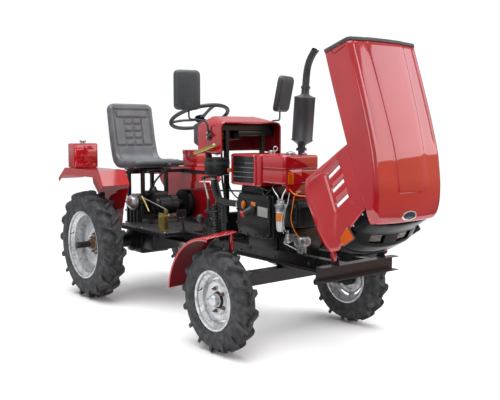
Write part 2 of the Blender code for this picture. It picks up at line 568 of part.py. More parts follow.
def steering(datum):
    lean = Vector((-math.sin(COLUMN_LEAN), 0, math.cos(COLUMN_LEAN)))
    body = empty("steering_wheel_hub", datum, WHEEL_HUB)
    steps = 10
    turns = [2 * math.pi * k / steps for k in range(steps)]
    ring = [(STEER_R + 0.0135 * math.cos(t), 0.0135 * math.sin(t)) for t in turns]
    rim = turned("steering_wheel", ring, WHEEL_HUB, lean, 32, body, BLACK, rough=0.5)
    hub = turned("steering_hub", [(0, -0.065), (0.009, -0.065), (0.009, -0.030), (0.030, -0.026), (0.034, 0.006),
                                  (0, 0.008)], WHEEL_HUB, lean, 20, body)
    boolean(rim, "UNION", hub)
    side = Vector((0, 1, 0))
    fore = side.cross(lean)
    for count, turn in enumerate((90, 210, 330)):
        way = fore * math.cos(math.radians(turn)) + side * math.sin(math.radians(turn))
        start = WHEEL_HUB + way * 0.020 - lean * 0.010
        spoke = rod("steering_spoke_%d" % count, start, WHEEL_HUB + way * STEER_R, 0.009, 8, body)
        boolean(rim, "UNION", spoke)
    top, foot = 0.035, 0.640
    bore = 0.0098
    profile = [(0, -foot - 0.01), (0.021, -foot - 0.01), (0.021, -top), (bore, -top), (bore, -0.075), (0, -0.075)]
    column = turned("steering_column", profile, WHEEL_HUB, lean, 20, datum)
    gear = box("steering_box", (0.900, 1.045), (-0.125, 0.040), (RAIL_TOP + GAP, 0.665), datum, BLACK, rough=0.6)
    boss = rod("steering_boss", WHEEL_HUB - lean * foot, WHEEL_HUB - lean * 0.72, 0.030, 20, datum)
    boolean(gear, "UNION", boss, column)


# ---------------------------------------------------------------- engine

def belt_drive(datum):
    """Grooved flywheel on the engine's left, the clutch pulley beside the gearbox, and the belts round both."""
    low, high, lip = BELT["low"], BELT["high"], 0.005
    pulleys = []
    for name, inner, depth in (("flywheel", 0.170 + GAP, 0.276), ("clutch_pulley", 0.120 + GAP, 0.262)):
        x, z, r = PULLEYS[name]
        edge = r + BELT["thick"] + 0.002
        groove = [(0, inner), (0.030, inner), (0.030, low - lip - 0.002), (edge, low - lip), (edge, low - GAP),
                  (r, low - GAP), (r, high + GAP), (edge, high + GAP), (edge, high + lip), (0.060, high + lip),
                  (0.060, depth), (0, depth)]
        turned(name, groove, (x, 0, z), (0, 1, 0), PULLEY_STEPS, datum, BLACK, metal=0.6)
        pulleys.append((x, z, (r + GAP) / math.cos(math.pi / PULLEY_STEPS)))
    loops = [belt_loop(pulleys, grown) for grown in (BELT["thick"], 0)]
    belt = prism("drive_belts", loops[0], "Y", low, high, datum, RUBBER, rough=0.8)
    room = prism("belt_room", loops[1], "Y", low - 0.01, high + 0.01, datum)
    boolean(belt, "DIFFERENCE", room)


def belt_loop(pulleys, grown):
    """A taut loop round two pulleys: an arc on each, between the two outer tangents."""
    (front_x, front_z, front_r), (back_x, back_z, back_r) = pulleys
    lean = math.asin((front_r - back_r) / math.hypot(front_x - back_x, front_z - back_z))
    slope = math.atan2(front_z - back_z, front_x - back_x)
    up = math.pi / 2 + lean
    loop = []
    for x, z, r, start, end in ((front_x, front_z, front_r, -up, up), (back_x, back_z, back_r, up, 2 * math.pi - up)):
        turns = [slope + start + (end - start) * k / BELT["steps"] for k in range(BELT["steps"] + 1)]
        loop += [(x + (r + grown) * math.cos(t), z + (r + grown) * math.sin(t)) for t in turns]
    return loop


def engine(datum):
    floor = RAIL_TOP + GAP
    block = box("engine_block", (1.345, 1.660), (-0.185, 0.170), (0.590, 0.835), datum, BLACK, rough=0.5)
    neck = box("engine_neck", (1.360, 1.560), (-0.160, 0.090), (0.80, RADIATOR_LOW - GAP), datum)
    sump = box("engine_sump", (1.345, 1.660), (-0.120, 0.120), (floor, 0.62), datum)
    barrel = box("engine_barrel", (1.640, 1.760), (-0.110, 0.110), (floor, 0.650), datum)
    boolean(rounded(block, 0.010, 1), "UNION", neck, sump, barrel)
    rounded(box("cylinder_head", (1.660 + GAP, 1.850), (-0.150, 0.100), (0.665, 0.810), datum, BLACK, rough=0.5),
            0.010, 1)
    rounded(box("radiator", (1.293, 1.571), (-0.188, 0.100), (RADIATOR_LOW, 1.064), datum, RED, rough=0.25), 0.018)
    tank = box("fuel_tank", (1.571 + GAP, 1.775), (-0.183, 0.075), (0.903, 1.061), datum, RED, rough=0.25)
    foot = box("fuel_tank_foot", (1.680, 1.720), (-0.050, 0.050), (0.810 + GAP, 0.92), datum)
    boolean(rounded(tank, 0.020), "UNION", foot)
    belt_drive(datum)
    path = [(1.700, 0.100 + GAP, 0.745), (1.700, 0.115, 0.745), (1.700, 0.135, 0.745), (1.690, 0.170, 0.752), (1.640, 0.225, 0.790),
            (1.520, 0.285, 0.860), (1.410, 0.320, 0.930), (1.362, 0.330, 1.000), (1.354, 0.330, 1.050),
            (1.3515, 0.330, 1.076)]
    elbow = [(x, y, z, 0.021) for x, y, z in curve_points(path, 2)]
    # x, y, z and radius up the muffler and its tail pipe
    stack = [
        (1.3515, 0.330, 1.0803, 0.034), (1.352, 0.330, 1.090, 0.034), (1.352, 0.330, 1.091, 0.024),
        (1.354, 0.330, 1.105, 0.024), (1.357, 0.330, 1.140, 0.066), (1.381, 0.330, 1.410, 0.066),
        (1.382, 0.330, 1.422, 0.030), (1.386, 0.330, 1.465, 0.030), (1.386, 0.330, 1.467, 0.021),
        (1.392, 0.330, 1.530, 0.021), (1.402, 0.329, 1.580, 0.021), (1.424, 0.326, 1.625, 0.021),
        (1.452, 0.322, 1.658, 0.020), (1.490, 0.318, 1.688, 0.017)]
    swept("exhaust", elbow + stack, datum, BLACK, sides=16, rough=0.6)
    can_low, can_high, can_r = 0.926, 1.048, 0.075
    can = turned("air_cleaner", [(0, can_low), (can_r - 0.006, can_low), (can_r, can_low + 0.006),
                                 (can_r, can_high - 0.006), (can_r - 0.006, can_high), (0, can_high)],
                 (1.222, -0.234, 0), (0, 0, 1), 24, datum, BLACK)
    strap = box("air_cleaner_strap", (1.182, 1.198), (-0.190, -0.1525 - GAP), (0.970, 1.010), datum)
    boolean(can, "UNION", strap)
    path = [(1.178, -0.226, 0.900), (1.180, -0.224, 0.850), (1.195, -0.215, 0.800), (1.235, -0.200, 0.775),
            (1.290, -0.170, 0.765), (1.325, -0.155, 0.765), (1.335, -0.155, 0.765)]
    route = [(1.178, -0.226, can_low - GAP)] + curve_points(path, 2) + [(1.345 - GAP, -0.155, 0.765)]
    swept("intake_hose", [(x, y, z, 0.020) for x, y, z in route], datum, BLACK, sides=12)
    filter_x, filter_y = 1.755, -0.195
    bowl = turned("fuel_filter", [(0, 0.645), (0.012, 0.647), (0.016, 0.665), (0.018, 0.785), (0.026, 0.790),
                                  (0.026, 0.828), (0, 0.832)], (filter_x, filter_y, 0), (0, 0, 1), 18, datum, CLEAR)
    strap = box("fuel_filter_strap", (filter_x - 0.01, filter_x + 0.01), (-0.180, -0.150 - GAP), (0.790, 0.806), datum)
    boolean(bowl, "UNION", strap)
    drum = rod("alternator", (1.822, -0.135, 0.590), (1.822, -0.050, 0.590), 0.033, 18, datum, DARK, metal=0.5)
    foot = box("alternator_foot", (1.802, 1.842), (-0.112, -0.078), (floor, 0.570), datum)
    boolean(drum, "UNION", foot)


def controls(datum):
    top = RAIL_TOP + GAP + PLATFORM["plate"] + GAP
    for name, y in (("brake_pedal", -0.130), ("clutch_pedal", 0.130)):
        pad = box(name, (0.660, 0.672), (y - 0.036, y + 0.036), (0.618, 0.668), datum, BLACK)
        stem = swept(name + "_stem", [(0.694, y, top + 0.004, 0.008), (0.690, y, 0.560, 0.008),
                                      (0.668, y, 0.640, 0.008)], datum, sides=8)
        foot = box(name + "_foot", (0.676, 0.708), (y - 0.015, y + 0.015), (top, top + 0.006), datum)
        boolean(pad, "UNION", stem, foot)
    # two plates and the tube between them, which carries the brake and clutch rods
    x, y, high = 0.600, -0.245, 0.668
    lever = box("brake_bracket", (x - 0.035, x + 0.035), (y - 0.004, y), (top, high - 0.020), datum, ZINC, metal=0.8)
    foot = box("bracket_foot", (x - 0.040, x + 0.040), (y - 0.020, y + 0.045), (top, top + 0.004), datum)
    inner = box("bracket_inner", (x - 0.028, x + 0.020), (y + 0.036, y + 0.040), (top, high), datum)
    tube = rod("bracket_tube", (x - 0.004, y - 0.018, 0.622), (x - 0.004, y + 0.060, 0.622), 0.009, 12, datum)
    boolean(lever, "UNION", foot, inner, tube)


# ---------------------------------------------------------------- hood, drawn shut

def set_in(line, distance):
    """The points of a line in a side view, moved to its right by a distance with its corners kept."""
    ways = [(Vector(two) - Vector(one)).normalized() for one, two in zip(line, line[1:])]
    moved = []
    for here, before, after in zip(line, ways[:1] + ways, ways + ways[-1:]):
        right = (Vector((before.y, -before.x)) + Vector((after.y, -after.x))).normalized()
        reach = distance / right.dot(Vector((after.y, -after.x)))
        moved.append(tuple(Vector(here) + right * reach))
    return moved


def hood(datum):
    """Everything that lifts with the hood, drawn in its shut place and turned up about the hinge."""
    pivot_x, pivot_z = HOOD_PIVOT
    body = empty("hood_pivot", datum, (pivot_x, 0, pivot_z))
    half, wall = HOOD_HALF, HOOD_WALL
    # side view of the upper shell: the roof from the rear top to the nose, then the side edge back again
    roof = [(1.295, 1.220), (1.644, 1.146), (1.820, 1.105), (1.935, 1.061), (1.992, 1.035), (2.050, 1.001),
            (2.098, 0.962), (2.128, 0.935), (2.138, 0.908)]
    edge = [(2.110, 0.886), (2.040, 0.916), (1.720, 0.956), (1.255, 1.050)]
    shell = prism("hood_shell", roof + edge, "Y", -half, half, body, RED, rough=0.22)
    rounded(shell, 0.030, 2, 28)
    inside = set_in(roof, wall)
    inside = [(1.200, inside[0][1] + 0.019)] + inside[1:-1] + [(inside[-1][0], 0.750), (1.200, 0.750)]
    room = prism("hood_room", inside, "Y", -half + wall, half - wall, body)
    rounded(room, 0.0275, 2, 28)
    boolean(shell, "DIFFERENCE", room)
    for side, out in both_sides():
        hood_side(side, out, body)
    nose(body)
    body.rotation_euler = (0, HOOD_OPEN, 0)


def hood_side(side, out, body):
    """Side panel with its slots and hinge arm, and the lamp on it."""
    pivot_x, pivot_z = HOOD_PIVOT
    outer = HOOD_HALF - HOOD_WALL - GAP
    outline = [(1.722, 0.985), (1.728, 0.780), (1.734, 0.600), (1.803, 0.561), (2.036, 0.559), (2.133, 0.588),
               (2.152, 0.654), (2.128, 0.691), (2.100, 0.748), (2.078, 0.800), (2.045, 0.905), (2.000, 0.950)]
    y = sorted((out * (outer - SHEET), out * outer))
    panel = prism("hood_panel_" + side, outline, "Y", y[0], y[1], body, RED, rough=0.22)
    outline = [(2.050, 0.610), (2.070, 0.575), (pivot_x + 0.004, pivot_z - 0.012), (pivot_x + 0.012, pivot_z),
               (pivot_x + 0.004, pivot_z + 0.012), (2.100, 0.606)]
    y = sorted((out * HINGE["arm"][0], out * HINGE["arm"][1]))
    arm = prism("hood_arm_" + side, outline, "Y", y[0], y[1], body)
    y = sorted((out * HINGE["arm"][0], out * (outer - 0.001)))
    web = box("hood_web_" + side, (2.060, 2.100), y, (0.590, 0.596), body)
    boolean(panel, "UNION", arm, web)
    hole = rod("hood_arm_hole_" + side, (pivot_x, out * 0.150, pivot_z), (pivot_x, out * 0.260, pivot_z), 0.0066, 16,
               body)
    boolean(panel, "DIFFERENCE", hole)
    for count, (x, low, high, lean) in enumerate(SLOTS):
        slot = prism("slot_%s_%d" % (side, count), [(x, low), (x + 0.020, low), (x + 0.020 + lean, high),
                                                    (x + lean, high)], "Y", -0.30, 0.30, body)
        boolean(panel, "DIFFERENCE", slot)
    outline = [(2.070, 0.775), (2.143, 0.785), (2.147, 0.690), (2.098, 0.703)]
    y = sorted((out * (outer + GAP), out * (outer + LAMP_PROUD)))
    prism("turn_lamp_" + side, outline, "Y", y[0], y[1], body, AMBER, rough=0.2)


def nose(body):
    """Deep black nose: a bent skin open at the back and top, with a lamp let into its slope on either side."""
    skin = 0.004
    rings = []
    for wide, _, _, rise in NOSE_PLAN[::-1]:
        heights = [z for z, _ in NOSE_LEVELS[:-1]] + [NOSE_LEVELS[-1][0] + rise]
        outer = [(nose_x(wide, z), wide, z) for z in heights]
        inner = [(x - skin, max(y - 0.8 * skin, 0), z) for x, y, z in outer]
        rings.append(outer + inner[::-1])
    rings.insert(0, [(NOSE_BACK, y, z) for x, y, z in rings[0]])
    rings += [[(x, -y, z) for x, y, z in ring] for ring in rings[-2::-1]]
    grille = loft("nose_grille", rings, body, BLACK, rough=0.5)
    for side, out in both_sides():
        ends = LAMP_Y if out > 0 else (-LAMP_Y[1], -LAMP_Y[0])
        lens = [lamp_section(y, 0, 0.018, 0.001) for y in ends]
        prism("headlamp_" + side, lens[0], "Y", ends[0], ends[1], body, CLEAR, far=lens[1], rough=0.1)
        room = [lamp_section(y, 2 * GAP, 0.030, 0.010) for y in ends]
        hole = prism("headlamp_hole_" + side, room[0], "Y", ends[0] - GAP, ends[1] + GAP, body, far=room[1])
        boolean(grille, "DIFFERENCE", hole)


def nose_x(y, z):
    """X of the nose's outer face, from its plan and the set back of each level."""
    def between(table, at, column):
        for one, two in zip(table, table[1:]):
            if one[0] <= at <= two[0]:
                break
        part = min(max((at - one[0]) / (two[0] - one[0]), 0), 1)
        return one[column] + (two[column] - one[column]) * part
    return between(NOSE_PLAN, abs(y), 1) - between(NOSE_PLAN, abs(y), 2) * between(NOSE_LEVELS, z, 1)


def lamp_section(y, wider, deep, proud):
    """Side view of a headlamp lying in the nose's upper slope, between its lower and its upper end."""
    low, high = [Vector((nose_x(y, z), z)) for z in LAMP_Z]
    along = (high - low).normalized()
    out = Vector((along.y, -along.x))
    ends = [low - along * wider, high + along * wider]
    corners = [ends[0] + out * proud, ends[1] + out * proud, ends[1] - out * deep, ends[0] - out * deep]
    return [tuple(corner) for corner in corners]


def main():
    clear_scene()
    datum = empty("rear_axle_datum")
    datum.location = (REAR_AXLE_X, 0, 0)
    frame(datum)
    platform(datum)
    gearbox(datum)
    rear_fenders(datum)
    seat(datum)
    dash(datum)
    steering(datum)
    engine(datum)
    controls(datum)
    front_axle(datum)
    hood(datum)
    for side, out in both_sides():
        rear_wheel(side, out, datum)
        pivot = knuckle(side, out, datum)
        front_wheel(side, out, pivot)
        if side == "right":
            tie_rod(pivot)


main()
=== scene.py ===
import json
import math

import bmesh
import bpy
import numpy as np
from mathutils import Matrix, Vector


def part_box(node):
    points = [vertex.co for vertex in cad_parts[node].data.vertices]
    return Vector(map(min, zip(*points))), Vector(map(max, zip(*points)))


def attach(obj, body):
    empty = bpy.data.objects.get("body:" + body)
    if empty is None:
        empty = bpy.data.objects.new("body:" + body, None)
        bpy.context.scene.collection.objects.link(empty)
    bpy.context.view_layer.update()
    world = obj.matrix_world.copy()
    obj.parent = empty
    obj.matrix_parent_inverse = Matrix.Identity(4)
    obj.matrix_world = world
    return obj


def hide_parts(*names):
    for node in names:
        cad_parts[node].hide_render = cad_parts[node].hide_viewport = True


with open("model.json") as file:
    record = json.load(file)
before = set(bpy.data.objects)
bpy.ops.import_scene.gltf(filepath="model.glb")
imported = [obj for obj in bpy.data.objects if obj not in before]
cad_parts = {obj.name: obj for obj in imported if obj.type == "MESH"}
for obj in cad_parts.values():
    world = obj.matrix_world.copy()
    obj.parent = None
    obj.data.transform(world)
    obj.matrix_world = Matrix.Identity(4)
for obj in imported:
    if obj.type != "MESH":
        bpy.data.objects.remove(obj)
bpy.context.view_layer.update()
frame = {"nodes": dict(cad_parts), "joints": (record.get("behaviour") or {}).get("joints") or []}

print("frame loaded:", len(frame["nodes"]), "nodes")


# Places: everything is worked out from the rear axle, as the chassis drawing is

def boxOf(node):
    # a node's lowest and highest corners
    low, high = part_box(node)
    return np.array(low), np.array(high)


rearTyreLow, rearTyreHigh = boxOf("tyre_rear_left")
rearAxleX = (rearTyreLow[0] + rearTyreHigh[0]) / 2
hoodJoint = next(j for j in frame["joints"] if j["name"] == "hood_hinge")
hoodPivot = np.array([hoodJoint["pos_m"][0] - rearAxleX, 0, hoodJoint["pos_m"][2]])
hoodTurn = math.radians(hoodJoint["range_deg"][1])     # the hood rests open by its whole range
sides = (("right", -1), ("left", 1))


def openHood(points):
    # turns points drawn with the hood shut about the hinge by the open angle
    d = np.asarray(points, float) - hoodPivot
    c, s = math.cos(hoodTurn), math.sin(hoodTurn)
    return hoodPivot + np.stack([d[..., 0] * c + d[..., 2] * s, d[..., 1], d[..., 2] * c - d[..., 0] * s], axis=-1)


# Mesh tools: each returns (points, faces), faces being rows of corner numbers

def gridFaces(rows, columns, wrapRows=False, wrapColumns=False):
    # the quad at (i, j) joins points (i, j), (i, j+1), (i+1, j+1) and (i+1, j), counted round where a side wraps
    i = np.arange(rows if wrapRows else rows - 1)[:, None]
    j = np.arange(columns if wrapColumns else columns - 1)[None, :]
    ni, nj = (i + 1) % rows, (j + 1) % columns
    corners = np.broadcast_arrays(i * columns + j, i * columns + nj, ni * columns + nj, ni * columns + j)
    return np.stack(corners, axis=-1).reshape(-1, 4)


def surface(points, wrapRows=False, wrapColumns=False, caps=False):
    # a rows x columns x 3 grid as quads; caps closes the first and the last row with one face each
    rows, columns = points.shape[:2]
    faces = gridFaces(rows, columns, wrapRows, wrapColumns).tolist()
    if caps:
        faces += [list(range(columns)), list(range((rows - 1) * columns, rows * columns))[::-1]]
    return points.reshape(-1, 3), faces


def joined(parts):
    # stacks parts into one, moving each one's corner numbers up by the points before it
    points, faces, start = [], [], 0
    for p, f in parts:
        points.append(p)
        faces += [[c + start for c in face] for face in f]
        start += len(p)
    return np.concatenate(points), faces


def moved(part, by=(0, 0, 0), turn=None):
    # every point is turned, then shifted by `by`
    points, faces = part
    if turn is not None:
        points = points @ np.asarray(turn).T
    return points + np.asarray(by), faces


def mirrored(part):
    # y becomes -y
    return part[0] * np.array([1, -1, 1]), part[1]


def repeated(part, places, turns=None):
    # point k of copy m is turn m applied to point k, plus place m
    points, faces = part
    places = np.atleast_2d(places).astype(float)
    turned = points[None] if turns is None else np.einsum("mij,kj->mki", np.asarray(turns), points)
    copies = turned + places[:, None, :]
    count = len(points)
    return copies.reshape(-1, 3), [[c + m * count for c in face] for m in range(len(places)) for face in faces]


def turnTo(axis, up=(0, 0, 1)):
    # rotation that carries +Z to axis, with +X as near as may be to up
    z = np.asarray(axis, float) / np.linalg.norm(axis)
    x = np.asarray(up, float) - np.dot(up, z) * z
    if np.linalg.norm(x) < 1e-6:
        x = np.array([1.0, 0, 0]) - z[0] * z
    x /= np.linalg.norm(x)
    return np.stack([x, np.cross(z, x), z], axis=1)


def lathe(profile, steps=32, at=(0, 0, 0), axis=(0, 0, 1), closed=False):
    # profile of (radius, height) turned about the axis: (r cos a, r sin a, h) for a round the circle
    r, h = np.asarray(profile, float).T
    a = np.linspace(0, 2 * math.pi, steps, endpoint=False)[:, None]
    points = np.stack(np.broadcast_arrays(r * np.cos(a), r * np.sin(a), h + 0 * a), axis=-1)
    points = points @ turnTo(axis).T + np.asarray(at)
    return surface(points, wrapRows=True, wrapColumns=closed)


def smoothPath(points, per=6):
    # Catmull-Rom curve through the points, `per` steps to a span
    p = np.asarray(points, float)
    p = np.concatenate([2 * p[:1] - p[1:2], p, 2 * p[-1:] - p[-2:-1]])
    t = (np.arange(per) / per)[None, :, None]
    a, b, c, d = (p[k:len(p) - 3 + k][:, None, :] for k in range(4))
    curve = 0.5 * (2 * b + (c - a) * t + (2 * a - 5 * b + 4 * c - d) * t ** 2 + (3 * b - a - 3 * c + d) * t ** 3)
    return np.concatenate([curve.reshape(-1, p.shape[1]), p[-2:-1]])


def framesAlong(path):
    # a frame carried along the path without twisting: each normal is the last one less its part along the tangent
    tangent = np.gradient(path, axis=0)
    tangent /= np.linalg.norm(tangent, axis=1, keepdims=True)
    normal = np.cross(tangent[0], [0.3, 0.2, 1.0] if abs(tangent[0][2]) < 0.9 else [1.0, 0.2, 0.1])
    normals = []
    for t in tangent:
        normal = normal - np.dot(normal, t) * t
        normal = normal / np.linalg.norm(normal)
        normals.append(normal)
    normals = np.array(normals)
    return tangent, normals, np.cross(tangent, normals)


def tube(path, radius, sides=12, caps=True):
    # circle of the radius (one, or one per point) carried along the path
    path = np.asarray(path, float)
    _, n, b = framesAlong(path)
    r = np.broadcast_to(np.asarray(radius, float), (len(path),))[:, None, None]
    a = np.linspace(0, 2 * math.pi, sides, endpoint=False)[None, :, None]
    return surface(path[:, None] + r * (np.cos(a) * n[:, None] + np.sin(a) * b[:, None]), wrapColumns=True, caps=caps)


def roundCorners(outline, radius, steps=4):
    # each corner becomes an arc of up to that radius, cut to fit its two sides
    p = np.asarray(outline, float)
    before, after = np.roll(p, 1, 0) - p, np.roll(p, -1, 0) - p
    la, lb = np.linalg.norm(before, axis=1), np.linalg.norm(after, axis=1)
    ua, ub = before / la[:, None], after / lb[:, None]
    half = np.arccos(np.clip((ua * ub).sum(1), -0.9999, 0.9999)) / 2
    cut = np.minimum(np.broadcast_to(radius, len(p)) / np.tan(half), 0.48 * np.minimum(la, lb))[:, None, None]
    t = np.linspace(0, 1, steps + 1)[None, :, None]
    a, b = p[:, None] + ua[:, None] * cut, p[:, None] + ub[:, None] * cut
    return ((1 - t) ** 2 * a + 2 * t * (1 - t) * p[:, None] + t ** 2 * b).reshape(-1, 2)


def inset(outline, by):
    # every corner moves along its bisector so that each side goes in by the same amount
    p = np.asarray(outline, float)
    side = np.roll(p, -1, 0) - p
    side /= np.maximum(np.linalg.norm(side, axis=1, keepdims=True), 1e-9)
    area = np.sum(p[:, 0] * np.roll(p[:, 1], -1) - np.roll(p[:, 0], -1) * p[:, 1])
    normal = np.stack([-side[:, 1], side[:, 0]], 1) * np.sign(area)
    both = normal + np.roll(normal, 1, 0)
    both /= np.maximum((both ** 2).sum(1, keepdims=True) / 2, 0.35)
    return p + both * by


def rectangle(left, low, right, high):
    # four corners, counted round from the lower left
    return [(left, low), (right, low), (right, high), (left, high)]


def slab(outline, axis, low, high, edge=0.0, corner=0.0, steps=2):
    # an outline in the two other axes carried from low to high, its corners and its two rims rounded
    if corner:
        outline = roundCorners(outline, corner)
    a = np.linspace(0, math.pi / 2, steps + 1) if edge else np.array([math.pi / 2])
    into, up = edge * (1 - np.sin(a)), edge * (1 - np.cos(a))
    rings = [(inset(outline, i), low + u) for i, u in zip(into, up)]
    rings += [(inset(outline, i), high - u) for i, u in zip(into[::-1], up[::-1])]
    order = {"X": (2, 0, 1), "Y": (0, 2, 1), "Z": (0, 1, 2)}[axis]
    grid = np.array([np.column_stack([ring, np.full(len(ring), at)])[:, order] for ring, at in rings])
    return surface(grid, wrapColumns=True, caps=True)


def block(low, high, edge=0.004, corner=None):
    # a box with its upright corners and its top and bottom rims rounded
    (x0, y0, z0), (x1, y1, z1) = low, high
    return slab(rectangle(x0, y0, x1, y1), "Z", z0, z1, edge, edge if corner is None else corner)


def bolt(size=0.01, tall=None, washer=True):
    # a hexagon head on a washer, standing on the zero plane: six-sided rings with a chamfered top
    tall = size * 0.65 if tall is None else tall
    hexagon = np.arange(6) * math.pi / 3
    rings = [(size * 0.577, 0), (size * 0.577, tall * 0.85), (size * 0.48, tall), (0, tall)]
    grid = np.array([[(r * math.cos(a), r * math.sin(a), h) for a in hexagon] for r, h in rings])
    parts = [surface(grid, wrapColumns=True)]
    if washer:
        parts.append(lathe([(0, 0.0), (size * 0.85, 0.0), (size * 0.85, size * 0.12), (0, size * 0.12)], 12))
    return joined(parts)


def bolts(places, axis, size=0.01, **look):
    # a bolt at each place, every head looking along the axis
    places = np.atleast_2d(places)
    return repeated(bolt(size, **look), places, [turnTo(axis)] * len(places))


mergeWithin, collapseWithin = 1e-5, 1e-6       # metres: doubles and slivers smaller than these go


def makePiece(name, part, finish, body="chassis", stands=None, smooth=35, solidify=0.0, inner=None,
              outside=None, keepWinding=False):
    # puts a part drawn in chassis coordinates into the frame, smooth except at edges sharper than `smooth` degrees;
    # a sheet gets a wall and an inner finish, and is turned so that its faces look, on the whole, to `outside`;
    # keepWinding trusts the grid's own order, turned over
    points, faces = joined(part) if isinstance(part, list) else part
    mesh = bpy.data.meshes.new(name)
    mesh.from_pydata((points + np.array([rearAxleX, 0, 0])).tolist(), [], faces)
    bm = bmesh.new()
    bm.from_mesh(mesh)
    bmesh.ops.remove_doubles(bm, verts=bm.verts, dist=mergeWithin)
    bmesh.ops.dissolve_degenerate(bm, edges=bm.edges, dist=collapseWithin)
    if not keepWinding:
        bmesh.ops.recalc_face_normals(bm, faces=bm.faces)
    away = outside is not None and sum(f.normal.dot(outside) * f.calc_area() for f in bm.faces) < 0
    if keepWinding or away:
        bmesh.ops.reverse_faces(bm, faces=bm.faces)
    bm.to_mesh(mesh)
    bm.free()
    mesh.shade_smooth()
    mesh.set_sharp_from_angle(angle=math.radians(smooth))
    piece = bpy.data.objects.new(name, mesh)
    bpy.context.scene.collection.objects.link(piece)
    mesh.materials.append(finish)
    if solidify:
        wall = piece.modifiers.new("wall", "SOLIDIFY")
        wall.thickness, wall.offset = solidify, -1
        if inner:
            mesh.materials.append(inner)
            wall.material_offset = 1
    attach(piece, body)
    if stands:
        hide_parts(stands)
    return piece


# Finishes: nodes are on Object coordinates, and every pattern's scale comes from a size in millimetres

def hexColour(code, alpha=1.0):
    # sRGB hex to linear: c / 12.92 below 0.04045, else ((c + 0.055) / 1.055) ** 2.4
    c = np.array([int(code[k:k + 2], 16) for k in (1, 3, 5)]) / 255
    return (*np.where(c <= 0.04045, c / 12.92, ((c + 0.055) / 1.055) ** 2.4).tolist(), alpha)


def addNode(tree, kind, inputs=None, give=0, **settings):
    # one node, and its output `give`; an input that is a socket is linked, a hex colour or a number is set
    node = tree.nodes.new("ShaderNode" + kind)
    for key, value in settings.items():
        setattr(node, key, value)
    for key, value in (inputs or {}).items():
        if isinstance(value, bpy.types.NodeSocket):
            tree.links.new(value, node.inputs[key])
        else:
            node.inputs[key].default_value = hexColour(value) if isinstance(value, str) else value
    return node.outputs[give]


def newFinish(name, colour, roughness, metallic=0.0, coat=0.0, ior=1.5, specular=None):
    # a material in one plain tone: itself, its tree, its shader and its Object coordinates, for more nodes
    finish = bpy.data.materials.new(name)
    finish.use_nodes = True
    tree = finish.node_tree
    shader = tree.nodes["Principled BSDF"]
    for key, value in {"Base Color": hexColour(colour), "Roughness": roughness, "Metallic": metallic, "IOR": ior,
                       "Coat Weight": coat, "Coat Roughness": 0.05,
                       "Specular IOR Level": 0.5 * (1 - coat) if specular is None else specular}.items():
        shader.inputs[key].default_value = value
    finish.diffuse_color = hexColour(colour)
    return finish, tree, shader, addNode(tree, "TexCoord", give="Object")


def cloud(tree, coords, size, detail=3.0, low=0.35, high=0.65):
    # soft noise whose blotches are `size` millimetres across, spread over 0 to 1
    noise = addNode(tree, "TexNoise", {"Vector": coords, "Scale": 1000 / size, "Detail": detail})
    return addNode(tree, "MapRange", {"Value": noise, "From Min": low, "From Max": high})


def relief(tree, shader, layers):
    # bumps in a chain, each a height and the real depth of its relief in millimetres
    normal = None
    for height, depth in layers:
        inputs = {"Height": height, "Distance": depth / 1000, "Strength": 1.0}
        if normal:
            inputs["Normal"] = normal
        normal = addNode(tree, "Bump", inputs)
    tree.links.new(normal, shader.inputs["Normal"])


def dusted(tree, shader, base, speckle, share, dustColour):
    # base colour under dust that settles where the surface looks upwards, in speckles, covering up to `share`
    up = addNode(tree, "SeparateXYZ", {0: addNode(tree, "NewGeometry", give="Normal")}, give=2)
    top = addNode(tree, "MapRange", {"Value": up, "From Min": 0.55, "From Max": 0.95})
    patches = addNode(tree, "Math", {0: top, 1: speckle}, operation="MULTIPLY", use_clamp=True)
    settled = addNode(tree, "Math", {0: patches, 1: share}, operation="MULTIPLY", use_clamp=True)
    colour = addNode(tree, "Mix", {0: settled, 6: base, 7: dustColour}, give=2, data_type="RGBA")
    tree.links.new(colour, shader.inputs["Base Color"])


def paintFinish(name, colour, shade, roughness, coat=0.0, grain=(1.2, 0.02), dust=0.12, dustColour="#B9ADA6",
                specular=None):
    # sprayed paint: two close tones in wide blotches, the spray's own fine relief (width, depth), dust on top faces
    finish, tree, shader, at = newFinish(name, colour, roughness, coat=coat, specular=specular)
    base = addNode(tree, "Mix", {0: cloud(tree, at, 180), 6: colour, 7: shade}, give=2, data_type="RGBA")
    dusted(tree, shader, base, cloud(tree, at, 7, 5, 0.42, 0.72), dust, dustColour)
    smear = cloud(tree, at, 45, 4, 0.3, 0.8)
    spread = addNode(tree, "MapRange", {"Value": smear, "To Min": roughness * 0.85, "To Max": roughness * 1.25})
    tree.links.new(spread, shader.inputs["Roughness"])
    relief(tree, shader, [(cloud(tree, at, grain[0], 2, 0.2, 0.8), grain[1])])
    return finish


# stoved enamel on pressed steel: deep red, wet-looking, with faint orange peel in its reflections
redEnamel = paintFinish("redStovedEnamel", "#A8151E", "#9C111A", 0.2, coat=1.0, grain=(6.0, 0.012), dust=0.05)
redEnamel.node_tree.nodes["Principled BSDF"].inputs["Coat IOR"].default_value = 1.74   # a hard, bright clear coat
# the same enamel, darkened as painted shade, for inside the hood and under the fenders, and left dull
redPaintedShade = paintFinish("redEnamelPaintedShade", "#6A0D15", "#560A11", 0.45, grain=(2.0, 0.02), dust=0.0, specular=0.08)
# black chassis paint over rolled channel: half gloss, with mill relief, grey dust on the top faces
blackChassis = paintFinish("blackChassisPaint", "#141416", "#1B1A1C", 0.3, coat=0.15, grain=(3.0, 0.015), dust=0.5,
                           dustColour="#77757A", specular=0.22)
# sand-cast iron under black paint: coarse skin that scatters the highlights
blackCasting = paintFinish("blackPaintedCasting", "#0F0F11", "#161618", 0.34, coat=0.05, grain=(2.2, 0.03), dust=0.16,
                           dustColour="#6A6664", specular=0.24)
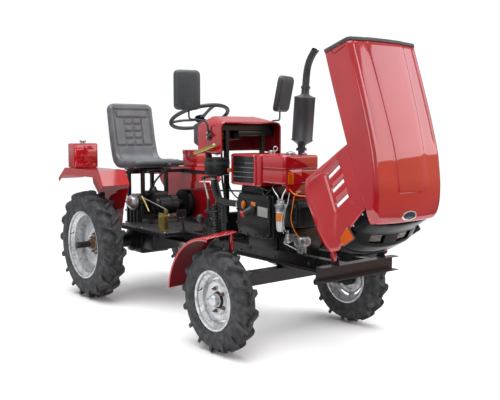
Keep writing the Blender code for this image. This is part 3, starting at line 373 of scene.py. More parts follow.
# satin black on tube and plate: brackets, posts, pipes
blackSatin = paintFinish("blackSatinPaint", "#1D1E20", "#26272A", 0.4, grain=(1.5, 0.03), dust=0.25,
                         dustColour="#6B686A")
# high-heat black on the silencer, gone slightly grey and chalky
heatBlack = paintFinish("highHeatBlack", "#2C2D30", "#38393E", 0.4, grain=(1.2, 0.04), dust=0.2, dustColour="#7A7774")
# black glossy ABS, moulded: clean and sharp in its reflections
glossAbs = paintFinish("glossBlackAbs", "#08080A", "#0C0C0E", 0.16, grain=(9.0, 0.006), dust=0.05, specular=0.08)


def mouldedFinish(name, colour, shade, roughness, grain, deep):
    # moulded plastic with a leather-like grain: rounded cells with grooves between them
    finish, tree, shader, at = newFinish(name, colour, roughness)
    base = addNode(tree, "Mix", {0: cloud(tree, at, 90, 4), 6: colour, 7: shade}, give=2, data_type="RGBA")
    dusted(tree, shader, base, cloud(tree, at, 12, 5, 0.4, 0.7), 0.12, "#A3A3A2")
    cells = addNode(tree, "TexVoronoi", {"Vector": at, "Scale": 1000 / grain}, "Distance", feature="SMOOTH_F1")
    relief(tree, shader, [(cells, -deep), (cloud(tree, at, 60, 2), 0.15)])
    return finish


# seat skin: vinyl-like self-skinned foam, charcoal with a broad soft sheen
seatSkin = mouldedFinish("seatSelfSkinnedFoam", "#505358", "#5C6066", 0.33, 1.6, 0.06)
# mirror backs and knobs: moulded polypropylene with a fine spark-eroded texture
mouldedBlack = mouldedFinish("texturedPolypropylene", "#303437", "#3A3E42", 0.46, 0.9, 0.04)


def rubberFinish(name, colour, dustColour, share, roughness=0.78):
    # carbon-black rubber: fine matt grain, with pale soil rubbed into it in patches
    finish, tree, shader, at = newFinish(name, colour, roughness)
    soil = addNode(tree, "Math", {0: cloud(tree, at, 38, 6, 0.42, 0.72), 1: share}, operation="MULTIPLY",
                   use_clamp=True)
    soiled = addNode(tree, "Mix", {0: soil, 6: colour, 7: dustColour}, give=2, data_type="RGBA")
    tree.links.new(soiled, shader.inputs["Base Color"])
    relief(tree, shader, [(cloud(tree, at, 1.4, 2, 0.2, 0.8), 0.05), (cloud(tree, at, 16, 3), 0.25)])
    return finish


# farm tyre compound: nearly black, dusted grey where it has rolled
tyreRubber = rubberFinish("farmTyreRubber", "#232426", "#58585A", 0.55)
# hose and belt rubber: darker and a little shinier
hoseRubber = rubberFinish("hoseRubber", "#141416", "#3A3A3B", 0.35, 0.5)
# extruded sealing strip: charcoal, clean
sealRubber = rubberFinish("sealRubber", "#3A3D3E", "#55585A", 0.5, 0.6)


def metalFinish(name, colour, shade, roughness, scratch=(1.0, 0.03), rust=0.0, rustColour="#6B4A33", spread=55):
    # bare or plated metal: tiny scratches along one way (width, depth in mm), and rust in patches `spread` mm across,
    # where it is rough and no longer metallic
    finish, tree, shader, at = newFinish(name, colour, roughness, 1.0)
    base = addNode(tree, "Mix", {0: cloud(tree, at, 30, 4), 6: colour, 7: shade}, give=2, data_type="RGBA")
    if rust:
        stain = addNode(tree, "Math", {0: cloud(tree, at, spread, 7, 0.5, 0.66), 1: rust}, operation="MULTIPLY",
                        use_clamp=True)
        base = addNode(tree, "Mix", {0: stain, 6: base, 7: rustColour}, give=2, data_type="RGBA")
        for socket, clean, rusty in (("Metallic", 1.0, 0.1), ("Roughness", roughness, 0.85)):
            change = addNode(tree, "MapRange", {"Value": stain, "To Min": clean, "To Max": rusty})
            tree.links.new(change, shader.inputs[socket])
    tree.links.new(base, shader.inputs["Base Color"])
    along = addNode(tree, "Mapping", {"Vector": at, "Scale": (1.0, 1.0, 0.12)})
    relief(tree, shader, [(cloud(tree, along, scratch[0], 2, 0.3, 0.7), scratch[1])])
    return finish


# bright zinc plate: bolts, nuts and small levers
brightZinc = metalFinish("brightZincPlate", "#C9CBCC", "#AEB1B4", 0.28)
# yellow passivated zinc: brackets with a gold to green cast
yellowZinc = metalFinish("yellowPassivatedZinc", "#B59A55", "#8F8B5C", 0.36, rust=0.35, rustColour="#7B5A2E")
# die-cast aluminium: light grey, satin
castAluminium = metalFinish("dieCastAluminium", "#A9ABAE", "#8E9094", 0.42, scratch=(2.0, 0.1))
# rusty steel: hub bolts and hub faces
rustySteel = metalFinish("rustedHubSteel", "#8A7A6C", "#6E5E52", 0.55, rust=0.9, rustColour="#5A3A28", spread=14)
# turned steel shaft, oiled and brown
oiledSteel = metalFinish("oiledTurnedSteel", "#55524F", "#3F3B39", 0.38, rust=0.5, rustColour="#3A2A22", spread=25)
# dull chrome in the lamps' bowls, and silvered mirror glass
lampChrome = metalFinish("vacuumMetallisedBowl", "#5E4226", "#1E150C", 0.35)
mirrorGlass = metalFinish("silveredMirrorGlass", "#E6EAEC", "#DDE2E5", 0.03, scratch=(60.0, 0.002))


def rimFinish():
    # aluminium-flake wheel paint: silver with a soft sparkle, greyer in patches, with brown patches of rust
    finish, tree, shader, at = newFinish("silverWheelPaint", "#B9BBBD", 0.36, 0.65)
    base = addNode(tree, "Mix", {0: cloud(tree, at, 70, 4), 6: "#CBCDD0", 7: "#AEB1B5"}, give=2, data_type="RGBA")
    flakes = addNode(tree, "TexVoronoi", {"Vector": at, "Scale": 1000 / 1.5}, "Distance")   # coarser than real, to show
    for pattern, share, tone in ((flakes, 0.25, "#DADCDD"), (cloud(tree, at, 22, 7, 0.5, 0.68), 0.6, "#6F6256")):
        cover = addNode(tree, "Math", {0: pattern, 1: share}, operation="MULTIPLY", use_clamp=True)
        base = addNode(tree, "Mix", {0: cover, 6: base, 7: tone}, give=2, data_type="RGBA")
    tree.links.new(base, shader.inputs["Base Color"])
    relief(tree, shader, [(cloud(tree, at, 2.5, 3, 0.2, 0.8), 0.03)])
    return finish


silverWheel = rimFinish()


def lensFinish(name, colour, ribs, roughness=0.08, transmission=0.6, ribColour=None, coat=0.25, specular=None):
    # moulded acrylic lens with fine upright ribs `ribs` mm apart, half clear over its own colour
    finish, tree, shader, at = newFinish(name, colour, roughness, 0.0, coat, ior=1.49, specular=specular)
    shader.inputs["Transmission Weight"].default_value = transmission
    wave = addNode(tree, "TexWave", {"Vector": at, "Scale": 1000 / ribs / 6.283}, bands_direction="Z")
    relief(tree, shader, [(wave, 0.5)])
    tint = addNode(tree, "Mix", {0: wave, 6: colour, 7: ribColour or colour}, give=2, data_type="RGBA")
    tree.links.new(tint, shader.inputs["Base Color"])
    return finish


# amber turn lamps, the clear lamp under the smoked one, a milky filter bowl, and smoked lamp lens
amberLens = lensFinish("amberAcrylicLens", "#E65F00", 2.5, transmission=0.05, ribColour="#7A2C00", coat=0.0,
                       specular=0.15)
clearLens = lensFinish("clearAcrylicLens", "#D8DCDD", 10, transmission=0.75)
clearBowl = lensFinish("clearNylonBowl", "#DDE0DE", 20, 0.12, 0.3)
smokedLens = lensFinish("smokedLampLens", "#A8814F", 6, 0.06, 0.98, coat=0.0, specular=0.12)
# small orange plastic parts, the red oil cap, the badge's dark enamel
orangePlastic = paintFinish("orangePlastic", "#C9731C", "#B5631A", 0.35, grain=(1.0, 0.02))
capRed = paintFinish("redMouldedCap", "#B5221B", "#A01C18", 0.35, coat=0.2, grain=(1.0, 0.02))
badgeBlue = paintFinish("darkBlueEnamelPlate", "#22303F", "#1A2634", 0.18, coat=0.8, grain=(5.0, 0.01), dust=0.03)
# blank foil label, and white PVC on small wires
labelFoil = paintFinish("blankLabelFoil", "#9B9C98", "#85867F", 0.35, grain=(1.0, 0.02))
wireWhite = paintFinish("whitePvcWire", "#C9CCC8", "#B2B4AF", 0.4, grain=(1.0, 0.01))
print("finishes made:", len(bpy.data.materials))


# Camera, floor and light

camera = {"at": (4.6257, -2.6963, 1.1945), "heading": 51.43, "pitch": 5.6, "lens": 50.56, "sensor": 36.0}
eye = bpy.data.cameras.new("camera")
eye.lens, eye.sensor_width, eye.clip_end = camera["lens"], camera["sensor"], 100
eyeObject = bpy.data.objects.new("camera", eye)
bpy.context.scene.collection.objects.link(eyeObject)
eyeObject.location = Vector(camera["at"]) + Vector((rearAxleX, 0, 0))
eyeObject.rotation_euler = (math.radians(90 - camera["pitch"]), 0, math.radians(camera["heading"]))
bpy.context.scene.camera = eyeObject
bpy.context.scene.view_settings.view_transform = "Standard"

# a round pale floor, wide enough for the tractor's shadow; past it the white backdrop carries on
floorRadius, floorSteps = 3.1, 96
turn = np.linspace(0, 2 * math.pi, floorSteps, endpoint=False)
floorMesh = bpy.data.meshes.new("floor")
floorMesh.from_pydata(np.stack([floorRadius * np.cos(turn), floorRadius * np.sin(turn), 0 * turn], 1).tolist(), [],
                      [list(range(floorSteps))])
floor = bpy.data.objects.new("floor", floorMesh)
bpy.context.scene.collection.objects.link(floor)
# painted studio floor: matt off-white
floorMesh.materials.append(newFinish("paleStudioFloor", "#F4F4F4", 0.95)[0])

# the backdrop is plain white; as a light the studio is bright above, dark below the horizon, brightest behind the
# tractor's right side, and warm low in front to the left, where the hood's curved front and the tank mirror it
studio = {"white": (0.98, 0.99, 1.0, 1), "warm": (1.0, 0.52, 0.3, 1), "above": (0.1, 0.55), "shown": 1.05,
          "panel": ((-0.76, -0.64, 0.05), 0.8, 0.97, 0.35), "glow": ((0.66, 0.74, 0.1), 0.84, 0.96, 0.8)}
world = bpy.data.worlds.new("studio")
bpy.context.scene.world = world
world.use_nodes = True
tree = world.node_tree
sky = tree.nodes["Background"]
way = addNode(tree, "TexCoord", give="Generated")
low, high = studio["above"]
light = addNode(tree, "MapRange", {"Value": addNode(tree, "SeparateXYZ", {0: way}, give=2), "From Min": -0.1,
                                   "From Max": 0.05, "To Min": low, "To Max": high})
for name in ("panel", "glow"):
    direction, start, full, strength = studio[name]
    facing = addNode(tree, "VectorMath", {0: way, 1: direction}, give="Value", operation="DOT_PRODUCT")
    patch = addNode(tree, "MapRange", {"Value": facing, "From Min": start, "From Max": full})
    light = addNode(tree, "Math", {0: patch, 1: strength, 2: light}, operation="MULTIPLY_ADD")
seen = addNode(tree, "LightPath", give="Is Camera Ray")
warmShare = addNode(tree, "Math", {0: patch, 1: seen}, operation="SUBTRACT", use_clamp=True)
tint = addNode(tree, "Mix", {0: warmShare, 6: studio["white"], 7: studio["warm"]}, give=2, data_type="RGBA")
tree.links.new(tint, sky.inputs["Color"])
tree.links.new(addNode(tree, "Mix", {0: seen, 2: light, 3: studio["shown"]}, data_type="FLOAT"), sky.inputs["Strength"])

softboxes = [   # name, where it stands, what it faces, width, height, watts, colour
    ("front left", (4.7, 3.2, 3.1), (1.2, 0.0, 1.0), 6.0, 2.6, 110, (0.92, 0.95, 1.06)),
    ("overhead", (0.2, -0.6, 5.2), (0.1, 0.0, 0.6), 5.5, 5.5, 285, (1.0, 1.0, 1.0)),
    ("camera side", (3.4, -5.2, 2.6), (0.3, 0.0, 0.7), 3.4, 2.2, 60, (1.0, 0.99, 0.97)),
]
for name, place, aim, width, height, watts, colour in softboxes:
    lamp = bpy.data.lights.new(name, "AREA")
    lamp.shape, lamp.size, lamp.size_y, lamp.energy, lamp.color = "RECTANGLE", width, height, watts, colour
    holder = bpy.data.objects.new(name, lamp)
    bpy.context.scene.collection.objects.link(holder)
    holder.location = place
    holder.rotation_euler = (Vector(aim) - Vector(place)).to_track_quat("-Z", "Y").to_euler()
daylight = bpy.data.lights.new("even daylight", "SUN")      # lifts the whole floor alike, out to the horizon
daylight.energy, daylight.angle = 1.3, math.radians(80)
bpy.context.scene.collection.objects.link(bpy.data.objects.new("even daylight", daylight))
print("stage set")


# Finishes of the parts that keep their own shape
nodeFinish = {
    blackChassis: ["rail_right", "rail_left", "front_cross_channel", "front_axle_beam", "drawbar", "seat_frame",
                   "platform", "tie_rod", "knuckle_right", "knuckle_left"],
    blackCasting: ["gearbox", "dash_frame", "axle_housing_right", "axle_housing_left", "steering_box", "engine_block",
                   "cylinder_head", "flywheel", "clutch_pulley", "air_cleaner", "brake_pedal", "clutch_pedal"],
    heatBlack: ["exhaust"],
    redEnamel: ["dash_cowl", "belt_guard", "side_tank", "toolbox", "radiator", "fuel_tank", "fender_front_right",
                "fender_front_left", "fender_rear_right", "fender_rear_left", "hood_shell", "hood_panel_right",
                "hood_panel_left"],
    mouldedBlack: ["steering_wheel", "mirror_right", "mirror_left"],
    seatSkin: ["seat"],
    hoseRubber: ["intake_hose", "drive_belts"],
    yellowZinc: ["brake_bracket"],
    castAluminium: ["alternator"],
    oiledSteel: ["axle_shaft_right", "axle_shaft_left"],
    silverWheel: ["rim_front_right", "rim_front_left", "rim_rear_right", "rim_rear_left"],
    tyreRubber: ["tyre_front_right", "tyre_front_left", "tyre_rear_right", "tyre_rear_left"],
    amberLens: ["turn_lamp_right", "turn_lamp_left"],
    clearLens: ["headlamp_right", "headlamp_left"],
    clearBowl: ["fuel_filter"],
    glossAbs: ["nose_grille"],
}
for finish, names in nodeFinish.items():
    for name in names:
        mesh = frame["nodes"][name].data
        mesh.materials.clear()
        mesh.materials.append(finish)
left = set(frame["nodes"]) - {n for names in nodeFinish.values() for n in names}
print("nodes without a finish:", sorted(left))


# Wheels: lugged tyres, stepped silver rims with cut-away discs, hubs and their bolts; metres, across from the middle
wheelKinds = {
    "front": {"lugs": 15, "lugHigh": 0.02, "lugWide": (0.017, 0.026), "lugSkew": 0.21, "turns": 96,
              "rimLip": 0.1665, "rimHalf": 0.046, "seat": 0.1524, "well": 0.022, "stepIn": 0.032,
              "slots": 6, "slotShare": 0.52, "bolts": 5, "boltRing": 0.064, "boltSize": 0.015,
              "dish": [(0.046, 0.004), (0.052, 0.006), (0.07, 0.006), (0.084, 0.01), (0.1, 0.01), (0.112, 0.004),
                       (0.122, -0.003)],
              "hub": [(0, -0.07), (0.03, -0.07), (0.03, -0.035), (0.056, -0.03), (0.056, -0.002), (0.044, -0.002),
                      (0.044, 0.01), (0.038, 0.014), (0, 0.014)], "hubFinish": blackCasting},
    "rear": {"lugs": 17, "lugHigh": 0.024, "lugWide": (0.02, 0.03), "lugSkew": 0.215, "turns": 108,
             "rimLip": 0.2425, "rimHalf": 0.075, "seat": 0.2285, "well": 0.024, "stepIn": 0.036,
             "slots": 8, "slotShare": 0.45, "bolts": 8, "boltRing": 0.07, "boltSize": 0.016,
             "dish": [(0.03, -0.031), (0.06, -0.031), (0.088, -0.031), (0.1, -0.025), (0.15, -0.022),
                      (0.182, -0.03), (0.196, -0.038)],
             "hub": [(0.0225, -0.03), (0.05, -0.03), (0.05, -0.01), (0.046, -0.006), (0.036, -0.004),
                     (0.034, 0.02), (0.0225, 0.02)], "hubFinish": rustySteel},
}
slotRows = slice(15, 18)            # the rows of the dish's grid that its slots cut through
treadStart = 0.12                   # angle of the first lug


def aboutAxle(angles):
    # one turn about the axle for each angle
    c, s, one = np.cos(angles), np.sin(angles), np.ones_like(angles)
    return np.array([[c, 0 * c, -s], [0 * c, one, 0 * c], [s, 0 * c, c]]).transpose(2, 0, 1)


def tyreParts(radius, half, t):
    # carcass: a closed section of (radius, side) turned round the axle. A lug is a bar whose top follows the tread
    # from the middle over the shoulder; at place s along it the bar's angle is skew times s, and its sides lean out
    crown, bead, lip, rim = radius - t["lugHigh"], t["seat"] + 0.0006, t["rimLip"], t["rimHalf"]
    beadPart = [(bead, rim - 0.005), (bead + 0.004, rim - 0.0046), (lip + 0.001, rim - 0.003),
                (lip + 0.003, rim + 0.003), (lip + 0.006, rim + 0.0045), (lip + 0.01, rim + 0.004)]
    wall = np.array([(0.4, 0.955), (0.415, 0.975), (0.44, 0.975), (0.455, 0.962), (0.62, 0.965), (0.8, 0.9),
                     (0.91, 0.78), (0.975, 0.56), (1, 0.25)])          # shares of the way up, and of the half width
    right = np.concatenate([beadPart, np.column_stack([bead + wall[:, 0] * (crown - bead), wall[:, 1] * half])])
    carcass = lathe(np.concatenate([right, (right * (1, -1))[::-1]]), t["turns"], axis=(0, 1, 0), closed=True)
    s = np.linspace(0, 1, 11)
    topY = np.interp(s, [0, 0.12, 0.6, 0.82, 0.92, 1], np.array([-0.1, 0.02, 0.66, 0.93, 0.99, 0.975]) * half)
    topR = radius - np.interp(s, [0, 0.12, 0.6, 0.82, 0.92, 1], [0.002, 0.0, 0.004, 0.01, 0.022, 0.046])
    baseY = topY * np.interp(s, [0, 0.6, 1], [1, 0.93, 0.86])
    baseR = np.interp(s, [0, 0.6, 0.82, 1], [crown - 0.006, crown - 0.012, crown - 0.03, crown - 0.06])
    narrow, broad = t["lugWide"]
    wide = np.interp(s, [0, 0.6, 1], [narrow, narrow * 1.15, broad]) / 2
    angle = t["lugSkew"] * (s ** 0.85) * 1.05
    rows = []
    for side, up, flare in [(-1, 0, 0.004), (-1, 0.9, 0), (-0.86, 1, 0), (0.86, 1, 0), (1, 0.9, 0), (1, 0, 0.004)]:
        r = baseR + (topR - baseR) * up
        y = baseY + (topY - baseY) * up
        a = angle + (side * wide + np.sign(side) * flare) / radius
        rows.append(np.stack([r * np.cos(a), y, r * np.sin(a)], -1))
    lug = surface(np.stack(rows, 1), wrapColumns=True, caps=True)
    pitch, count = 2 * math.pi / t["lugs"], np.arange(t["lugs"])
    none = np.zeros((t["lugs"], 3))
    return [carcass, repeated(lug, none, aboutAxle(count * pitch + treadStart)),
            repeated(mirrored(lug), none, aboutAxle((count + 0.5) * pitch + treadStart))]


def thickened(path, thick):
    # closed section: the path one way, and back along its left-hand side at the wall's thickness
    p = np.asarray(path, float)
    along = np.gradient(p, axis=0)
    along /= np.linalg.norm(along, axis=1, keepdims=True)
    return np.concatenate([p, (p + thick * np.stack([-along[:, 1], along[:, 0]], 1))[::-1]])


def slottedDisc(profile, slots, share, turns, thick):
    # dish of (radius, height) round the axle as two skins `thick` apart; cells in the slots are left out of both,
    # and a strip joins the skins round every hole and along the two rims
    r, h = smoothPath(profile, 3).T
    a = np.linspace(0, 2 * math.pi, turns, endpoint=False)
    keep = np.ones((turns, len(r) - 1), bool)
    keep[:, slotRows] = ((a * slots / (2 * math.pi)) % 1 >= share)[:, None]
    grid = np.stack([r[None] * np.cos(a)[:, None], r[None] * np.sin(a)[:, None], h[None] + 0 * a[:, None]], -1)
    top = gridFaces(turns, len(r), wrapRows=True)[keep.ravel()]
    count = turns * len(r)
    edges = np.stack([top, np.roll(top, -1, 1)], -1).reshape(-1, 2)
    code = edges[:, 0] * count + edges[:, 1]
    lone = edges[~np.isin(code, edges[:, 1] * count + edges[:, 0])]
    strip = np.stack([lone[:, 1], lone[:, 0], lone[:, 0] + count, lone[:, 1] + count], 1)
    points = np.concatenate([grid.reshape(-1, 3), grid.reshape(-1, 3) - (0, 0, thick)])
    return points, top.tolist() + (top[:, ::-1] + count).tolist() + strip.tolist()


def rimParts(t):
    # barrel: the rim's half section from lip to well and its mirror image; disc: dished, with a weld bead in the well
    lip, edge, seat, step = t["rimLip"], t["rimHalf"], t["seat"], t["stepIn"]
    well, weld = seat - t["well"], t["dish"][-1][1] - 0.003
    halfWall = np.array([
        (lip - 0.001, edge - 0.005), (lip, edge - 0.0025), (lip - 0.002, edge - 0.0003), (seat + 0.003, edge - 0.001),
        (seat - 0.0012, edge - 0.005), (seat - 0.002, edge - 0.017), (seat - 0.005, edge - 0.02),
        (well + 0.006, edge - step + 0.004), (well + 0.001, edge - step), (well, edge - step - 0.003)])
    path = np.concatenate([halfWall, (halfWall * (1, -1))[::-1]])
    disc = slottedDisc(t["dish"] + [(well - 0.0005, weld)], t["slots"], t["slotShare"], 96, 0.004)
    round6 = np.linspace(0, 2 * math.pi, 7)[:-1]
    bead = np.column_stack([well - 0.001 + 0.0035 * np.cos(round6), weld + 0.0035 * np.sin(round6)])
    return [lathe(thickened(path, 0.003), 96, closed=True), disc, lathe(bead, 96, closed=True)]


hubCap = [(0.0, 0.013), (0.036, 0.013), (0.0365, 0.016), (0.034, 0.018), (0.033, 0.04), (0.029, 0.048),
          (0.018, 0.054), (0, 0.056)]
stud = lathe([(0, 0), (0.0045, 0), (0.0045, 0.022), (0, 0.023)], 8)
for side, out in sides:
    outward = turnTo((0, out, 0))
    for end, t in wheelKinds.items():
        tag, body = end + "_" + side, "wheel_%s_%s" % (end, side)
        low, high = boxOf("tyre_" + tag)
        centre = (low + high) / 2 - np.array([rearAxleX, 0, 0])
        radius, half = (high[2] - low[2]) / 2 - 0.0006, (high[1] - low[1]) / 2
        makePiece("tyre_%s_lugged" % tag, [moved(p, centre) for p in tyreParts(radius, half, t)], tyreRubber, body,
                  stands="tyre_" + tag, smooth=32)
        makePiece("rim_%s_stepped" % tag, [moved(p, centre, outward) for p in rimParts(t)], silverWheel, body,
                  stands="rim_" + tag, smooth=30)
        ring = (np.arange(t["bolts"]) + 0.3) * 2 * math.pi / t["bolts"]
        spots = np.stack([t["boltRing"] * np.cos(ring), t["boltRing"] * np.sin(ring), t["dish"][2][1] + 0 * ring], -1)
        nuts = repeated(joined([bolt(t["boltSize"], 0.012), stud]), spots)
        makePiece("wheel_nuts_" + tag, moved(nuts, centre, outward), rustySteel, body)
        if end == "front":
            makePiece("hub_cap_" + side, moved(lathe(hubCap, 36), centre, outward), silverWheel, body)
        makePiece("hub_" + tag, moved(lathe(t["hub"], 36), centre, outward), t["hubFinish"], body)
        stemAt, rim = t["seat"] - 0.012, t["rimHalf"]
        stem = tube([(stemAt, 0, rim - 0.03), (stemAt - 0.01, 0, rim - 0.014), (stemAt - 0.014, 0, rim + 0.004)],
                    [0.005, 0.0035, 0.003], 8)
        makePiece("valve_" + tag, moved(stem, centre, outward @ turnTo((0, 0, 1), (0.3, 1, 0))), hoseRubber, body)
print("wheels made")


# The hood is drawn shut in chassis coordinates, and openHood turns every point up to its rest place.
# The shell's section at each place along it stands on the line from the side's lower edge E up to the roof R:
# point = E + h (R - E) / L, with h = L - crown (y / w)^2 + pad - flute across the roof, w the half width.

hood = {
    "roof": [(1.295, 1.22), (1.47, 1.184), (1.644, 1.146), (1.76, 1.1165), (1.85, 1.091), (1.935, 1.0565),
             (1.992, 1.0302), (2.046, 0.9988), (2.085, 0.971), (2.113, 0.949), (2.13, 0.9335), (2.138, 0.92)],
    "edge": [(1.255, 1.05), (1.43, 1.013), (1.6, 0.981), (1.7, 0.962), (1.8, 0.9465), (1.89, 0.934),
             (1.955, 0.927), (2.015, 0.92), (2.065, 0.908), (2.1, 0.892), (2.116, 0.881)],
    "half": 0.246, "cornerAcross": 0.062, "cornerAlong": 0.095, "edgeRadius": 0.018, "crown": 0.012,
    "padHigh": 0.003, "padEnd": (2.02, 2.031), "padWalls": ((1.29, 0.131), (1.64, 0.118), (1.85, 0.108), (2.03, 0.097)),
    "fluteIn": 0.031, "fluteDeep": 0.0022, "fluteEnd": (1.78, 1.84), "wall": 0.0025,
    # from, to and number of the rows of points along the roof
    "rows": [(1.295, 1.78, 16), (1.8, 2.0, 18), (2.004, 2.034, 13), (2.04, 2.124, 15), (2.127, 2.138, 7)],
}


def opened(part):
    # a part drawn shut, turned up with the hood
    return openHood(part[0]), part[1]


def smoothStep(x, low, high):
    # t^2 (3 - 2 t), t going from 0 at low to 1 at high
    t = np.clip((np.asarray(x, float) - low) / (high - low), 0, 1)
    return t * t * (3 - 2 * t)


hoodRoof, hoodEdge = smoothPath(hood["roof"], 24), smoothPath(hood["edge"], 24)
hoodArc = np.concatenate([[0], np.cumsum(np.linalg.norm(np.diff(hoodRoof, axis=0), axis=1))])


def hoodLines(x):
    # for places x along the roof: roof point, edge point, half width, pad half width
    spot = np.interp(x, hoodRoof[:, 0], np.arange(len(hoodRoof)))
    roof, edge = (np.stack([np.interp(spot, np.arange(len(c)), c[:, k]) for k in (0, 1)], -1)
                  for c in (hoodRoof, hoodEdge))
    left = hoodArc[-1] - np.interp(spot, np.arange(len(hoodArc)), hoodArc)
    t = 1 - np.clip(left / hood["cornerAlong"], 0, 1)
    half = hood["half"] - hood["cornerAcross"] * (1 - np.sqrt(1 - t ** 2))
    walls = np.array(hood["padWalls"])
    low, high = hood["padEnd"]
    tuck = np.clip((x - low + 0.012) / (high - low + 0.012), 0, 1)
    pad = np.interp(x, walls[:, 0], walls[:, 1]) - 0.016 * (1 - np.sqrt(1 - tuck ** 2))
    return roof, edge, half, pad


def hoodSurface(x, y, h=None, lift=0.0):
    # a point of the shell at place x: at height h up the side, or on the roof where h is not given
    roof, edge, half, pad = hoodLines(x)
    up = roof - edge
    tall = np.linalg.norm(up, axis=-1)
    up /= tall[..., None]
    crown = np.minimum(hood["crown"], 0.4 * tall)
    raised = hood["padHigh"] * smoothStep(pad - np.abs(y), -0.004, 0.004) * (1 - smoothStep(x, *hood["padEnd"]))
    groove = hood["fluteDeep"] * np.clip(1 - np.abs(half - hood["fluteIn"] - np.abs(y)) / 0.007, 0, 1)
    top = tall - crown * (y / half) ** 2 + raised - groove * (1 - smoothStep(x, *hood["fluteEnd"]))
    h = (top if h is None else h) + lift
    at = edge + h[..., None] * up
    return np.stack([at[..., 0], y + 0 * h, at[..., 1]], -1)


def hoodShellPart():
    # across each row: up the side, round its edge by a quarter circle of radius r, then over the roof to the middle
    x = np.concatenate([np.linspace(*row) for row in hood["rows"]])[:, None]
    roof, edge, half, pad = hoodLines(x)
    tall = np.linalg.norm(roof - edge, axis=-1)
    side = tall - np.minimum(hood["crown"], 0.4 * tall)          # height of the roof's outer edge
    r = np.minimum(hood["edgeRadius"], 0.62 * side)
    rise = np.array([0.0, 0.02, 0.25, 0.5, 0.75, 1.0]) * (side - r)
    a = np.linspace(0, math.pi / 2, 6)[1:-1]
    flute = half - hood["fluteIn"]
    ys = [half + 0 * rise, half - r * (1 - np.cos(a)),
          half - r, flute + 0.0075, flute + 0.004, flute, flute - 0.004, flute - 0.0075,
          flute * 0.7 + pad * 0.3 - 0.004, flute * 0.35 + pad * 0.65, pad + 0.0045, pad + 0.002, pad, pad - 0.002,
          pad - 0.0045, pad * 0.7, pad * 0.38, 0 * pad]
    y = np.concatenate(ys, axis=1)
    onTop = hoodSurface(np.broadcast_to(x, y.shape), y)
    h = np.concatenate([rise, side - r + r * np.sin(a)], axis=1)
    onSide = hoodSurface(np.broadcast_to(x, h.shape), y[:, :h.shape[1]], h)
    right = np.concatenate([onSide, onTop[:, h.shape[1]:]], axis=1) * np.array([1, -1, 1])
    return np.concatenate([right, (right * np.array([1, -1, 1]))[:, -2::-1]], axis=1)


shellGrid = hoodShellPart()
# the inner wall is in the darkened red: painted shade inside the hood
makePiece("hood_shell_pressing", surface(openHood(shellGrid)), redEnamel, "hood", stands="hood_shell", smooth=50,
          solidify=hood["wall"], inner=redPaintedShade, keepWinding=True)

# rubber channel over the rear edge: a rounded bar, from 13 mm on the steel to 4 mm past it, carried along the edge
rim, behind = shellGrid[0], shellGrid[0] - shellGrid[1]
behind /= np.linalg.norm(behind, axis=1, keepdims=True)
tangent = np.gradient(rim, axis=0)
outward = np.cross(tangent, behind)
outward /= np.linalg.norm(outward, axis=1, keepdims=True)
sealSection = roundCorners(rectangle(-0.013, -0.0062, 0.0045, 0.0036), 0.003, 3)
sealGrid = (rim[:, None] + sealSection[None, :, :1] * behind[:, None] + sealSection[None, :, 1:] * outward[:, None])
makePiece("hood_rear_seal", surface(openHood(sealGrid), wrapColumns=True, caps=True), sealRubber, "hood",
          smooth=40)

# catch on the right side near the rear edge: a pressed wire let into the steel, drawn in the darkened red as painted
# shade
catchPath = hoodSurface(*(np.array(v) for v in zip((1.3, -0.2465, 0.04), (1.322, -0.2465, 0.046),
                                                   (1.334, -0.2465, 0.06), (1.324, -0.2465, 0.132))))
makePiece("hood_catch_wire", tube(openHood(catchPath), 0.0016, 8), redPaintedShade, "hood")

# bare oval plate near the front: a flat disc with a raised ring, each ring of points laid on the shell
badge = {"at": (2.1175, -0.004), "half": (0.054, 0.0235), "rings": ((0.0, 0.0016), (0.5, 0.0016), (0.82, 0.0013),
         (0.84, 0.003), (0.94, 0.0032), (1.0, 0.002), (1.02, -0.0005))}


def badgeGrid(rings):
    # ring k: place along the roof and across it = centre + share_k (half sizes) (sin a, cos a), lifted by lift_k
    a = np.linspace(0, 2 * math.pi, 40, endpoint=False)[None]
    share, lift = np.array(rings).T[:, :, None]
    along = np.interp(badge["at"][0], hoodRoof[:, 0], hoodArc) + share * badge["half"][1] * np.sin(a)
    x = np.interp(along, hoodArc, hoodRoof[:, 0])
    y = badge["at"][1] + share * badge["half"][0] * np.cos(a)
    return surface(openHood(hoodSurface(x, y, lift=lift)), wrapColumns=True)


makePiece("hood_badge_plate", badgeGrid(badge["rings"][:3]), badgeBlue, "hood")
makePiece("hood_badge_ring", badgeGrid(badge["rings"][2:]), brightZinc, "hood")

panel = {
    "outline": [(1.722, 0.985), (1.728, 0.78), (1.734, 0.6), (1.803, 0.561), (2.036, 0.559), (2.133, 0.588),
                (2.152, 0.654), (2.128, 0.691), (2.1, 0.748), (2.078, 0.8), (2.045, 0.905), (2.0, 0.95)],
    "corners": [0.012, 0.05, 0.035, 0.03, 0.05, 0.02, 0.03, 0.02, 0.03, 0.03, 0.03, 0.02],
    "face": 0.2432, "field": (1.772, 1.983, 0.741, 0.872), "fieldDeep": 0.0065, "rampDeep": 0.0075,
    "slots": (1.793, 1.865, 1.941), "slotSpan": (0.765, 0.857), "slotWide": 0.02,
    "shearX": -0.15, "shearZ": -0.125, "from": (1.79, 0.765), "wall": 0.0022,
}


def panelSheared(a, b):
    # field coordinates to the side view: x = a + shearX (b - b0), z = b + shearZ (a - a0)
    a0, b0 = panel["from"]
    return a + panel["shearX"] * (b - b0), b + panel["shearZ"] * (a - a0)


